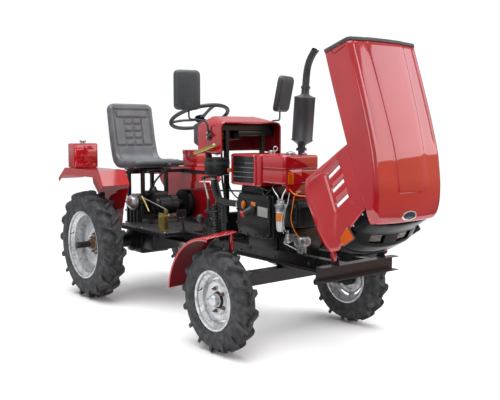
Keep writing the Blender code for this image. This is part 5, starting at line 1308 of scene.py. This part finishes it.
nuts = [bolts([(1.3515 + 0.028 * math.cos(a), 0.33 + 0.028 * math.sin(a), 1.0845) for a in (0.8, 2.4, 3.9, 5.5)],
              (0, 0, 1), 0.008, washer=False),
        bolts([(1.672, 0.11, 0.745), (1.728, 0.11, 0.745)], (0, 1, 0), 0.011),
        bolts([(1.355, 0.3365, 1.466)], (0, 1, 0), 0.007)]
makePiece("exhaust_nuts", nuts, brightZinc)

# Radiator: a pressed frame round a dark core; the core's near face is louvred, y = depth * |sin| down its height
radiator = {"shell": (1.293, 0.88, 1.571, 1.064), "deep": (-0.1815, 0.1), "rimDeep": (-0.188, -0.178),
            "rims": [(1.3, 0.886, 1.53, 0.8975), (1.3, 1.0485, 1.53, 1.059), (1.3, 0.886, 1.319, 1.059),
                     (1.511, 0.886, 1.53, 1.059)],
            "core": (1.318, 1.512, 0.896, 1.05), "pitch": 0.0052, "louvre": 0.0032, "wireY": -0.1868,
            "wires": (0.93, 0.9575, 0.985, 1.0125),
            "cap": [(0, 0), (0.021, 0), (0.021, 0.004), (0.024, 0.006), (0.024, 0.013), (0.02, 0.0155),
                    (0.008, 0.017), (0, 0.017)], "capAt": (1.415, 0.03, 1.0642),
            "eyeAt": (1.354, 0.112, 1.088), "eyeRadius": 0.0125, "eyeWire": 0.0032}
x0, x1, z0, z1 = radiator["core"]
frameParts = [slab(rectangle(*radiator["shell"]), "Y", *radiator["deep"], 0.007, 0.016, 3)]
frameParts += [slab(rectangle(*rim), "Y", *radiator["rimDeep"], 0.002, 0.005) for rim in radiator["rims"]]
makePiece("radiator_frame", frameParts, redEnamel, stands="radiator", smooth=40)
x, z = np.meshgrid(np.linspace(x0 - 0.001, x1 + 0.001, 3), np.linspace(z0, z1, 180), indexing="ij")
louvres = np.stack([x, -0.1825 - radiator["louvre"] * np.abs(np.sin(math.pi * z / radiator["pitch"])), z], -1)
makePiece("radiator_core", surface(louvres), blackSatin, outside=(0, -1, 0), solidify=0.0006)
wires = [tube([(x, radiator["wireY"], z) for x in (x0 - 0.004, (x0 + x1) / 2, x1 + 0.004)], 0.0009, 6)
         for z in radiator["wires"]]
corners = [(x, -0.188, z) for x in (1.3085, 1.521) for z in (0.892, 1.0535)]
wires.append(bolts(corners, (0, -1, 0), 0.0085, washer=False))
makePiece("radiator_wires", wires, brightZinc)
a, wire = np.linspace(0, 2 * math.pi, 10)[:-1], radiator["eyeWire"]
cap = [lathe(radiator["cap"], 32, radiator["capAt"]),
       lathe(np.column_stack([radiator["eyeRadius"] + wire * np.cos(a), wire * np.sin(a)]), 32, radiator["eyeAt"],
             (1, -0.65, 0), closed=True),
       tube([(1.354, 0.095, 1.06), (1.354, 0.104, 1.066), (1.354, 0.112, 1.073)], 0.004, 10)]
makePiece("radiator_cap", cap, brightZinc, smooth=45)

# Fuel tank: two pressed halves meeting in a welded flange, with filler caps, a bracket and a red foot
tank = {"low": (1.5716, -0.183, 0.903), "high": (1.775, 0.075, 1.061), "seam": 0.984, "flange": 0.003,
        "foot": [((1.68, -0.05, 0.8103), (1.72, 0.05, 0.9035), 0.002),
                 ((1.776, -0.175, 0.86), (1.779, -0.06, 0.985), 0.001),
                 ((1.74, -0.175, 0.8985), (1.779, -0.06, 0.9025), 0.001)],
        "filler": [(0, 0), (0.024, 0), (0.025, 0.003), (0.025, 0.014), (0.022, 0.017), (0.01, 0.0175), (0.009, 0.022),
                   (0, 0.023)], "fillerAt": (1.662, -0.039, 1.0605),
        "vent": [(0, 0), (0.015, 0), (0.0155, 0.002), (0.0155, 0.009), (0.012, 0.011), (0, 0.011)],
        "ventAt": (1.712, 0.02, 1.0605)}
(x0, y0, z0), (x1, y1, z1) = tank["low"], tank["high"]
seam, lip = tank["seam"], tank["flange"]
halves = [slab(rectangle(x0, y0, x1, y1), "Z", low, high, 0.012, 0.024, 4)
          for low, high in ((z0, seam + 0.001), (seam - 0.001, z1))]
halves.append(slab(rectangle(x0, y0 - lip, x1 + lip, y1 + lip), "Z", seam - 0.0013, seam + 0.0013, 0.001, 0.027, 2))
halves += [block(*foot) for foot in tank["foot"]]
makePiece("fuel_tank_halves", halves, redEnamel, stands="fuel_tank", smooth=40)
caps = [lathe(tank["filler"], 32, tank["fillerAt"]), lathe(tank["vent"], 24, tank["ventAt"])]
makePiece("fuel_tank_caps", caps, castAluminium, smooth=45)
reflector = slab(rectangle(-0.165, 0.905, -0.125, 0.972), "X", 1.7793, 1.787, 0.002, 0.004)
makePiece("fuel_tank_reflector", reflector, amberLens)

# Engine: near-side cover with ribs along its top, crankcase, sump, barrel with fins, head with its rocker cover
engine = {
    "slabs": [   # side outline, from y to y, rim rounding, corner rounding, steps
        ([(1.345, 0.6), (1.36, 0.59), (1.65, 0.59), (1.66, 0.6), (1.66, 0.825), (1.65, 0.835), (1.355, 0.835),
          (1.345, 0.825)], -0.166, 0.17, 0.008, 0.012, 3),
        ([(1.372, 0.598), (1.64, 0.59), (1.652, 0.7), (1.652, 0.79), (1.64, 0.8345), (1.372, 0.8345), (1.352, 0.8),
          (1.352, 0.64)], -0.185, -0.16, 0.007, 0.022, 3),
        ([(1.358, 0.828), (1.562, 0.828), (1.556, 0.8795), (1.364, 0.8795)], -0.16, 0.09, 0.008, 0.006, 3),
        ([(1.362, 0.783), (1.646, 0.777), (1.646, 0.7815), (1.362, 0.7875)], -0.1875, -0.165, 0.0015, 0.002),
        ([(1.38, 0.61), (1.634, 0.604), (1.638, 0.66), (1.376, 0.672)], -0.188, -0.18, 0.003, 0.014)],
    "ribs": [(0.7925, 0.0), (0.8135, 0.002), (0.83, 0.008)],            # height, tuck
    "blocks": [((1.375, -0.12, 0.5213), (1.63, 0.12, 0.6), 0.004, 0.015),
               ((1.64, -0.108, 0.5215), (1.76, 0.108, 0.65), 0.004, 0.02)],
    "barrelFins": (9, 0.012), "headFins": (13, 0.013),                  # how many, pitch
    "head": [([(1.6605, 0.665), (1.85, 0.672), (1.85, 0.78), (1.836, 0.81), (1.6605, 0.81)], -0.138, 0.0995, 0.006,
              0.01, 3),
             ([(1.7, 0.69), (1.832, 0.69), (1.84, 0.77), (1.822, 0.798), (1.7, 0.798)], -0.15, -0.132, 0.004,
              0.014, 3)],
    "coverBolts": [(1.382, 0.604), (1.45, 0.6), (1.52, 0.598), (1.59, 0.596), (1.638, 0.612), (1.645, 0.69),
                   (1.645, 0.76), (1.636, 0.824), (1.36, 0.66), (1.36, 0.74)],
    "plug": [(0, 0), (0.019, 0), (0.02, 0.004), (0.018, 0.012), (0.01, 0.016), (0, 0.017)],
    "neck": [(1.49, -0.18, 0.748), (1.48, -0.205, 0.736), (1.468, -0.228, 0.722)],
    "neckFoot": [(0, 0), (0.028, 0), (0.029, 0.004), (0.027, 0.012), (0, 0.013)],
    "oilCap": [(0.0, 0), (0.019, 0), (0.0225, 0.002), (0.0225, 0.01), (0.0205, 0.0135), (0.01, 0.015), (0.0, 0.015)],
}
toSide = (0, -1, 0)


def finRow(kind):
    # how far along each fin of the row stands
    count, pitch = engine[kind]
    return np.arange(count) * pitch


case = [slab(outline, "Y", *rest) for outline, *rest in engine["slabs"]] + [block(*b) for b in engine["blocks"]]
case += [slab([(1.366, z), (1.592, z - 0.004), (1.592, z + 0.003), (1.366, z + 0.007)], "Y", -0.1885 + tuck, -0.165,
              0.0025, 0.003) for z, tuck in engine["ribs"]]
case += [slab(rectangle(1.652 + x, 0.526, 1.656 + x, 0.654), "Y", -0.113, 0.113, 0.001, 0.001)
         for x in finRow("barrelFins")]
makePiece("engine_crankcase", case, blackCasting, stands="engine_block", smooth=38)
head = [slab(outline, "Y", *rest) for outline, *rest in engine["head"]]
head += [block((1.668 + x, -0.146, 0.8085), (1.672 + x, 0.095, 0.8135), 0.001) for x in finRow("headFins")]
makePiece("engine_cylinder_head", head, blackCasting, stands="cylinder_head", smooth=38)
heads = [bolts([(x, -0.1855, z) for x, z in engine["coverBolts"]], toSide, 0.011),
         bolts([(x, -0.1505, z) for x in (1.712, 1.822) for z in (0.702, 0.784)], toSide, 0.01)]
makePiece("engine_bolts", heads, blackSatin)
plugPoints, plugFaces = lathe(engine["plug"], 24)
plug = moved((plugPoints * (0.72, 1.25, 1), plugFaces), (1.423, -0.186, 0.768), turnTo(toSide, (1, 0, 0)))
makePiece("engine_timing_plug", plug, orangePlastic, smooth=50)
tag = slab([(1.49, 0.768), (1.529, 0.766), (1.529, 0.79), (1.49, 0.792)], "Y", -0.1905, -0.185, 0.001, 0.003)
makePiece("engine_filler_tag", tag, orangePlastic)
neck = [tube(engine["neck"], [0.022, 0.02, 0.018], 20), lathe(engine["neckFoot"], 24, (1.497, -0.184, 0.745), toSide)]
makePiece("engine_oil_neck", neck, blackSatin, smooth=45)
a = np.linspace(0, 2 * math.pi, 48, endpoint=False)[None]
radius, rise = np.array(engine["oilCap"]).T[:, :, None]
radius = radius * (1 + 0.03 * np.cos(12 * a))                           # twelve finger grips
grip = np.stack([radius * np.cos(a), radius * np.sin(a), rise + 0 * a], -1)
oilCap = moved(surface(grip, wrapColumns=True), (1.4675, -0.229, 0.7215), turnTo((-0.42, -0.8, -0.42)))
makePiece("engine_oil_cap", oilCap, capRed, smooth=50)
label = slab([(1.546, 0.715), (1.634, 0.709), (1.634, 0.764), (1.546, 0.77)], "Y", -0.1862, -0.1845, 0.0004, 0.003)
makePiece("engine_label_blank", label, labelFoil)

# Fuel filter: lathed pieces on one axis, cup seams turned in; lift pump below; pipes between them and the tank
fuelFilter = {
    "at": (1.755, -0.195, 0),
    "bowl": [(0, 0.647), (0.013, 0.648), (0.0195, 0.656), (0.0225, 0.675), (0.024, 0.727)],
    "band": [(0.0232, 0.706), (0.025, 0.7065), (0.025, 0.75), (0.022, 0.7505)],
    "head": [(0, 0.775), (0.025, 0.775), (0.03, 0.779), (0.03, 0.788), (0.034, 0.79), (0.034, 0.796), (0.022, 0.801),
             (0.02, 0.812), (0.013, 0.818), (0.013, 0.826), (0, 0.828)],
    "nut": [(0, 0.75), (0.0265, 0.75), (0.0285, 0.753), (0.0285, 0.772), (0.0265, 0.7755), (0, 0.7755)],
    "pump": [(0, 0), (0.017, 0), (0.019, 0.004), (0.019, 0.018), (0.022, 0.02), (0.022, 0.026), (0.016, 0.03),
             (0.014, 0.048), (0.008, 0.052), (0, 0.052)],
    "pipes": [   # radius, finish, path
        (0.0034, brightZinc, [(1.65, -0.12, 0.905), (1.655, -0.165, 0.89), (1.69, -0.186, 0.868), (1.728, -0.192, 0.84),
                              (1.738, -0.194, 0.822)]),
        (0.004, clearBowl, [(1.765, -0.12, 0.905), (1.768, -0.16, 0.885), (1.77, -0.19, 0.85), (1.767, -0.196, 0.822)]),
        (0.0032, castAluminium, [(1.786, -0.19, 0.8), (1.8, -0.2, 0.76), (1.792, -0.205, 0.7), (1.792, -0.19, 0.655),
                                 (1.79, -0.172, 0.645)]),
        (0.0034, castAluminium, [(1.79, -0.192, 0.6), (1.8, -0.205, 0.59), (1.84, -0.2, 0.578), (1.87, -0.175, 0.56)]),
        (0.0024, blackSatin, [(1.56, -0.15, 0.858), (1.59, -0.182, 0.85), (1.612, -0.19, 0.836), (1.64, -0.188, 0.852),
                              (1.66, -0.18, 0.872)]),
        (0.0024, hoseRubber, [(1.48, -0.14, 0.872), (1.54, -0.178, 0.876), (1.59, -0.183, 0.872),
                              (1.625, -0.17, 0.86)]),
        (0.0028, orangePlastic, [(1.84, -0.125, 0.87), (1.822, -0.15, 0.85), (1.815, -0.16, 0.79),
                                 (1.808, -0.165, 0.72), (1.83, -0.16, 0.66), (1.85, -0.14, 0.62)]),
        (0.003, orangePlastic, [(1.779, -0.15, 0.88), (1.815, -0.16, 0.862), (1.85, -0.15, 0.85),
                                (1.88, -0.12, 0.846)]),
        (0.0018, wireWhite, [(1.8, -0.17, 0.86), (1.8, -0.186, 0.8), (1.783, -0.206, 0.74), (1.778, -0.204, 0.68),
                             (1.784, -0.196, 0.64)])],
}
bowl = lathe(fuelFilter["bowl"], 32, fuelFilter["at"])
makePiece("fuel_filter_bowl", bowl, clearBowl, stands="fuel_filter", smooth=40)
for kind, finish, steps, smooth in (("band", orangePlastic, 32, 40), ("head", castAluminium, 32, 40),
                                    ("nut", brightZinc, 8, 35)):
    makePiece("fuel_filter_" + kind, lathe(fuelFilter[kind], steps, fuelFilter["at"]), finish,
              smooth=smooth)
arms = [block((1.735, -0.19, 0.786), (1.775, -0.1503, 0.8), 0.002),
        block((1.742, -0.214, 0.812), (1.768, -0.176, 0.82), 0.002)]
makePiece("fuel_filter_arm", arms, castAluminium)
pump = [lathe(fuelFilter["pump"], 28, (1.79, -0.17, 0.588)),
        block((1.776, -0.172, 0.592), (1.804, -0.113, 0.634), 0.004),
        lathe(rectangle(0, 0, 0.007, 0.018), 6, (1.79, -0.17, 0.638))]
makePiece("lift_pump", pump, castAluminium, smooth=40)
for k, (radius, finish, path) in enumerate(fuelFilter["pipes"]):
    makePiece("fuel_pipe_%d" % k, tube(smoothPath(path, 8), radius, 10), finish, smooth=60)

# Air cleaner: ribbed can, strap and wing nut; hose with bellows, r = r0 + 0.8 mm cos
airCleaner = {
    "at": (1.222, -0.234, 0),
    "can": [(0, 0.926), (0.026, 0.926), (0.03, 0.93), (0.044, 0.932), (0.07, 0.936), (0.0745, 0.94), (0.075, 0.978),
            (0.0755, 0.98), (0.0762, 0.983), (0.0755, 0.986), (0.075, 0.988), (0.075, 1.026), (0.0735, 1.031),
            (0.066, 1.0345), (0.045, 1.038), (0.02, 1.041), (0, 1.042)],
    "hose": [(1.178, -0.226, 0.926), (1.178, -0.226, 0.9), (1.18, -0.224, 0.85), (1.195, -0.215, 0.8),
             (1.235, -0.2, 0.775), (1.29, -0.17, 0.765), (1.325, -0.155, 0.765), (1.3449, -0.155, 0.765)],
    "hoseRadius": 0.0195, "bellows": 0.0008,
    "clips": [((1.178, -0.226, 0.908), (0, 0, 1)), ((1.333, -0.155, 0.765), (1, 0, 0))],
}
at = airCleaner["at"]
makePiece("air_cleaner_can", lathe(airCleaner["can"], 40, at), blackCasting, stands="air_cleaner", smooth=35)
strap = [lathe(rectangle(0.0752, 0.996, 0.0768, 1.016), 48, at, closed=True),
         block((1.18, -0.192, 0.994), (1.2, -0.153, 1.018), 0.002)]
makePiece("air_cleaner_strap", strap, blackSatin, smooth=30)
wing = [lathe([(0, 1.0475), (0.007, 1.0475), (0.006, 1.056), (0, 1.057)], 12, at),
        slab([(1.206, 1.052), (1.238, 1.052), (1.242, 1.062), (1.202, 1.062)], "Y", -0.2355, -0.2325, 0.0005, 0.003)]
makePiece("air_cleaner_nut", wing, brightZinc)
tag = block((1.262, -0.212, 0.952), (1.296, -0.176, 0.976), 0.006, 0.01)
makePiece("air_cleaner_tag", tag, orangePlastic)
hose = smoothPath(airCleaner["hose"], 22)
count = np.arange(len(hose))
ripple = airCleaner["hoseRadius"] + airCleaner["bellows"] * np.cos(count * math.pi / 2.5) * window(count, 18, 130, 6)
makePiece("intake_hose_moulded", tube(hose, ripple, 20), hoseRubber, stands="intake_hose", smooth=60)
clips = [lathe(rectangle(0.0203, -0.005, 0.0218, 0.005), 28, place, axis, closed=True)
         for place, axis in airCleaner["clips"]]
makePiece("intake_hose_clips", clips, brightZinc)

# Alternator: finned drum on a bracket
alternator = {"drum": [(0, -0.135), (0.02, -0.135), (0.03, -0.13), (0.033, -0.122), (0.033, -0.112), (0.031, -0.11),
                       (0.031, -0.104), (0.033, -0.102), (0.033, -0.078), (0.031, -0.076), (0.031, -0.07),
                       (0.033, -0.068), (0.03, -0.056), (0.012, -0.05), (0, -0.05)], "at": (1.822, 0, 0.59)}
drum = [lathe(alternator["drum"], 36, alternator["at"], (0, 1, 0)),
        block((1.802, -0.112, 0.524), (1.842, -0.078, 0.562), 0.004)]
makePiece("alternator_drum", drum, castAluminium, stands="alternator", smooth=35)
print("engine made")


# Front fenders, platform, gearbox, steering gear, levers, side tank and toolbox

# a front fender's sheet is its edge-to-edge section turned about the wheel: (x - q sin t, y, z + q cos t)
fender = {"at": (1.605, 0.262), "radius": 0.368, "arc": (-4, 84), "wall": 0.0016,
          "section": [(0.5992, -0.016), (0.5996, -0.004), (0.5975, -0.0005), (0.59, 0.0015), (0.545, 0.0055),
                      (0.5, 0.0105), (0.45, 0.016), (0.405, 0.0205), (0.3955, 0.0215), (0.3925, 0.019),
                      (0.3922, 0.006)],
          "post": [(0.4012, 0.498), (0.4148, 0.498), (0.4148, 0.6345), (0.4705, 0.6335), (0.4705, 0.64),
                   (0.4012, 0.648)], "postX": (1.5764, 1.6036)}
across, over = np.array(fender["section"]).T
t = np.radians(np.linspace(*fender["arc"], 40))[:, None]
reach = fender["radius"] + over
for side, out in sides:
    sheet = np.stack(np.broadcast_arrays(fender["at"][0] - reach * np.sin(t), out * across,
                                         fender["at"][1] + reach * np.cos(t)), -1)
    # inner wall in the darkened red: painted shade under the fender
    makePiece("fender_front_sheet_" + side, surface(sheet), redEnamel, "knuckle_" + side,
              stands="fender_front_" + side, solidify=fender["wall"], inner=redPaintedShade, outside=(-0.7, 0, 0.7))
    post = slab([(out * y, z) for y, z in fender["post"]], "X", *fender["postX"], edge=0.002, corner=0.003)
    makePiece("fender_post_" + side, post, redEnamel, "knuckle_" + side)

# platform: plate with a turned-down lip and raised lozenges, every second one turned a quarter
plate = {"back": 0.05, "front": 0.715, "half": 0.295, "top": 0.5256, "thick": 0.004, "lip": 0.026, "pitch": 0.0235,
         "lozenge": [(-0.0095, 0), (-0.003, 0.0028), (0.003, 0.0028), (0.0095, 0), (0.003, -0.0028), (-0.003, -0.0028)],
         "lozengeHigh": 0.0016, "boltX": (0.085, 0.385, 0.685), "boltY": (-0.275, 0.275)}
top, back, front, half, thick = (plate[k] for k in ("top", "back", "front", "half", "thick"))
low = top - plate["lip"]
deck = [block((back, -half, top - thick), (front, half, top), 0.0015)]
deck += [block((x, -half, low), (x + thick, half, top - 0.001), 0.0015) for x in (back, front - thick)]
deck += [block((back, y, low), (front, y + thick, top - 0.001), 0.0015) for y in (-half, half - thick)]
bar = slab(plate["lozenge"], "Z", 0, plate["lozengeHigh"], edge=0.0006, steps=1)
cols = np.arange(back + 0.015, front - 0.01, plate["pitch"])
rows = np.arange(-half + 0.012, half - 0.008, plate["pitch"])
cells = np.stack(np.meshgrid(np.arange(len(cols)), np.arange(len(rows)), indexing="ij"), -1).reshape(-1, 2)
places = np.column_stack([cols[cells[:, 0]], rows[cells[:, 1]], np.full(len(cells), top)])
quarter = np.array([turnTo((0, 0, 1), (1, 1, 0)), turnTo((0, 0, 1), (1, -1, 0))])
makePiece("platform_plate", deck, blackChassis, stands="platform", smooth=40)
makePiece("platform_lozenges", repeated(bar, places, quarter[cells.sum(1) % 2]), blackSatin)
edgeBolts = np.array([(x, y, top) for x in plate["boltX"] for y in plate["boltY"]])
makePiece("platform_bolts", bolts(edgeBolts, (0, 0, 1), 0.01), brightZinc)

# gearbox: ribbed main case, nose case, clutch boss, lever tower; a bright domed cover on its right side
gearbox = {
    "blocks": [((-0.12, -0.12, 0.29), (0.11, 0.12, 0.7), 0.016), ((0.095, -0.115, 0.33), (0.2655, 0.115, 0.56), 0.018),
               ((-0.123, -0.125, 0.655), (0.113, 0.125, 0.667), 0.003),
               ((-0.09, -0.1, 0.696), (0.012, 0.1, 0.722), 0.01), ((0.02, -0.065, 0.69), (0.2, 0.065, 0.752), 0.014)],
    "ribX": (-0.085, -0.035, 0.015, 0.065),
    "boss": [(0, -0.075), (0.038, -0.07), (0.056, -0.058), (0.062, -0.04), (0.07, -0.036), (0.07, -0.016),
             (0.063, -0.01), (0.063, 0.06), (0.07, 0.066), (0.07, 0.118), (0, 0.118)],
    "tower": [(0, 0), (0.046, 0), (0.046, 0.012), (0.03, 0.022), (0.022, 0.044), (0.012, 0.05), (0, 0.05)],
    "dome": [(0, 0.05), (0.02, 0.047), (0.038, 0.037), (0.05, 0.02), (0.054, 0.004), (0.062, 0.003), (0.062, -0.012),
             (0, -0.012)],
}
hexagon = ((1, 0), (0.5, 0.87), (-0.5, 0.87), (-1, 0), (-0.5, -0.87), (0.5, -0.87))
case = [block(*b) for b in gearbox["blocks"]]
case += [block((x, -0.127, 0.315), (x + 0.009, 0.127, 0.65), 0.003) for x in gearbox["ribX"]]
case += [lathe(gearbox["boss"], 32, (0.19, 0, 0.655), (0, 1, 0)), lathe(gearbox["tower"], 24, (0.15, -0.04, 0.742)),
         bolts([(x, y, 0.667) for x in (-0.105, -0.035, 0.035, 0.095) for y in (-0.117, 0.117)], (0, 0, 1), 0.01),
         bolts([(x, -0.127, z) for x in (-0.105, 0.095) for z in (0.33, 0.42, 0.51, 0.6)], toSide, 0.01),
         bolts([(0.19 + 0.055 * c, -0.066, 0.655 + 0.055 * s) for c, s in hexagon], toSide, 0.009)]
makePiece("gearbox_case", case, blackCasting, stands="gearbox", smooth=38)
dome = lathe(gearbox["dome"], 32, (0.02, -0.136, 0.672), (0, -1, 0.1))
makePiece("gearbox_dome", dome, silverWheel, smooth=35)


def ball(at, r):
    # half circle turned about the upright
    a = np.linspace(-math.pi / 2, math.pi / 2, 9)
    return lathe(np.column_stack([r * np.cos(a), r * np.sin(a)]), 16, at)


gearLever = smoothPath([(0.15, -0.04, 0.78), (0.162, -0.03, 0.825), (0.192, 0.01, 0.885), (0.226, 0.05, 0.94)], 6)
seatRoll = smoothPath([(0.182, -0.192, 0.958), (0.189, -0.15, 0.961), (0.191, 0.0, 0.961), (0.189, 0.15, 0.961),
                       (0.182, 0.192, 0.958)], 6)
rods = [   # name, finish, slot, paths with their radii, balls at joints or grips
    ("gear_lever", blackSatin, "gearbox", [(gearLever, 0.0075)], [((0.23, 0.054, 0.947), 0.017)]),
    ("brake_rod", brightZinc, "gearbox", [([(0.19, -0.205, 0.746), (0.6, -0.205, 0.668)], 0.004)], []),
    ("hand_brake_lever", yellowZinc, "gearbox",
     [([(0.289, -0.215, 0.735), (0.345, -0.218, 0.69), (0.393, -0.22, 0.637)], 0.006)], []),
    ("seat_front_roll", mouldedBlack, "seat_frame", [(seatRoll, 0.0195)],
     [((0.182, -0.192, 0.958), 0.0195), ((0.182, 0.192, 0.958), 0.0195)]),
    ("catch_bar", yellowZinc, "gearbox", [([(1.062, -0.284, 1.06), (1.236, -0.268, 1.107)], 0.0125),
                                          ([(1.15, -0.262, 1.086), (1.15, -0.24, 1.09)], 0.006)],
     [((1.238, -0.268, 1.108), 0.0155)]),
    ("control_link", wireWhite, "steering_box", [([(1.036, -0.2, 0.89), (1.083, -0.2, 0.778)], 0.0055)], []),
    ("control_arms", blackSatin, "steering_box",
     [([(1.083, -0.2, 0.763), (1.06, -0.185, 0.715), (1.0, -0.165, 0.69)], 0.0085),
      ([(1.032, -0.2, 0.905), (1.032, -0.15, 0.912)], 0.007), ([(1.0, -0.165, 0.69), (1.13, -0.165, 0.705)], 0.0075)],
     [((1.032, -0.2, 0.905), 0.015), ((1.087, -0.2, 0.763), 0.014), ((0.94, -0.165, 0.64), 0.026)]),
]
for name, finish, slot, paths, balls in rods:
    makePiece(name, [tube(path, r, 12) for path, r in paths] + [ball(at, r) for at, r in balls], finish)

# steering gear: flanged round case on a foot, column up to the wheel, and two ribbed boots beside it
steeringGear = {
    "case": [(0, -0.066), (0.03, -0.066), (0.036, -0.058), (0.06, -0.055), (0.064, -0.048), (0.064, 0.05),
             (0.058, 0.062), (0, 0.066)],
    "column": [((0.975, 0, 0.625), (0.953, 0, 0.678), 0.032), ((0.9585, 0, 0.665), (0.712, 0, 1.2605), 0.021),
               ((0.9585, 0, 0.665), (0.9385, 0, 0.7133), 0.028)],
    "boot": [(1.085, -0.15, 0.74), (1.09, -0.15, 0.64), (1.095, -0.15, 0.545)], "bootRadius": 0.0215,
    "bootRibs": 11, "ribHigh": 0.0035, "second": (0.055, 0.02, -0.004), "secondShare": 0.85,
}
gear = [block((0.9, -0.125, 0.5214), (1.045, 0.04, 0.585), 0.012),
        lathe(steeringGear["case"], 32, (0.972, -0.05, 0.61), (0, 1, 0))]
gear += [tube([foot, head], radius, 20) for foot, head, radius in steeringGear["column"]]
gear.append(bolts([(0.972 + 0.048 * c, -0.107, 0.61 + 0.048 * s) for c, s in hexagon], toSide, 0.009))
makePiece("steering_gear_case", gear, blackCasting, stands="steering_box", smooth=38)
boot = smoothPath(steeringGear["boot"], 24)
ribbed = np.sin(np.linspace(0, 2 * math.pi * steeringGear["bootRibs"], len(boot)))
ribbed = steeringGear["bootRadius"] + steeringGear["ribHigh"] * ribbed
boots = [tube(boot, ribbed, 20), tube(boot + steeringGear["second"], ribbed * steeringGear["secondShare"], 20)]
makePiece("steering_gear_boots", boots, hoseRubber, smooth=60)
bracket = [block((1.06, -0.19, 0.522), (1.18, -0.125, 0.548), 0.004),
           block((1.12, -0.12, 0.522), (1.165, 0.11, 0.69), 0.006)]
makePiece("steering_gear_bracket", bracket, blackCasting)

# instrument panel behind the cowl: a moulded box that leans to the driver, with two blank gauges
gaugePanel = {
    "side": [(0.8, 1.236), (0.872, 1.258), (0.998, 1.26), (1.002, 1.078), (0.9, 1.07), (0.8, 1.118)], "half": 0.118,
    "ring": [(0, 0), (0.031, 0), (0.033, 0.004), (0.031, 0.008), (0.027, 0.006), (0.027, 0.003), (0, 0.003)],
    "face": [(0, 0.0035), (0.0268, 0.0035), (0.0268, 0.0045), (0, 0.0048)], "at": (0.8015, 0.062, 1.18)}
body = slab(gaugePanel["side"], "Y", -gaugePanel["half"], gaugePanel["half"], edge=0.008, corner=0.014)
makePiece("dash_panel", body, mouldedBlack, smooth=30)
x, y, z = gaugePanel["at"]
for name, kind, finish in (("dash_gauge_rings", "ring", brightZinc), ("dash_gauge_faces", "face", badgeBlue)):
    makePiece(name, [lathe(gaugePanel[kind], 28, (x, y * out, z), (-1, 0, 0)) for _, out in sides], finish)

# side tank in two pressed halves with a seam, a bright cap; toolbox with an overlapping lid
boxes = {
    "tank": [((-0.312, -0.495, 0.9236), (-0.19, -0.305, 1.105), 0.012, 0.02),
             ((-0.3145, -0.4975, 1.011), (-0.1875, -0.3025, 1.015), 0.0015, 0.02)],
    "tankCap": [(0, 0), (0.018, 0), (0.018, 0.008), (0.024, 0.009), (0.024, 0.02), (0.02, 0.0228), (0, 0.0228)],
    "toolbox": [((0.0, 0.32, 0.9236), (0.19, 0.45, 1.04), 0.005),
                ((-0.003, 0.317, 1.018), (0.193, 0.453, 1.0502), 0.006)],
}
makePiece("side_tank_halves", [block(*b) for b in boxes["tank"]], redEnamel, stands="side_tank", smooth=40)
makePiece("side_tank_cap", lathe(boxes["tankCap"], 28, (-0.251, -0.4, 1.105)), brightZinc)
makePiece("toolbox_box", [block(*b) for b in boxes["toolbox"]], redEnamel, stands="toolbox", smooth=40)
catch = block((0.085, 0.314, 0.995), (0.11, 0.3185, 1.035), 0.001)
makePiece("toolbox_catch", catch, brightZinc)

# bolts along the frame's rails
boltX = (0.3, 0.46, 0.86, 1.12, 1.3, 1.62, 1.9, 2.06)
frameBolts = [bolts([(x, out * 0.1152, 0.482) for x in boltX], (0, out, 0), 0.012) for _, out in sides]
makePiece("frame_bolts", frameBolts, blackSatin)
print("rear made")
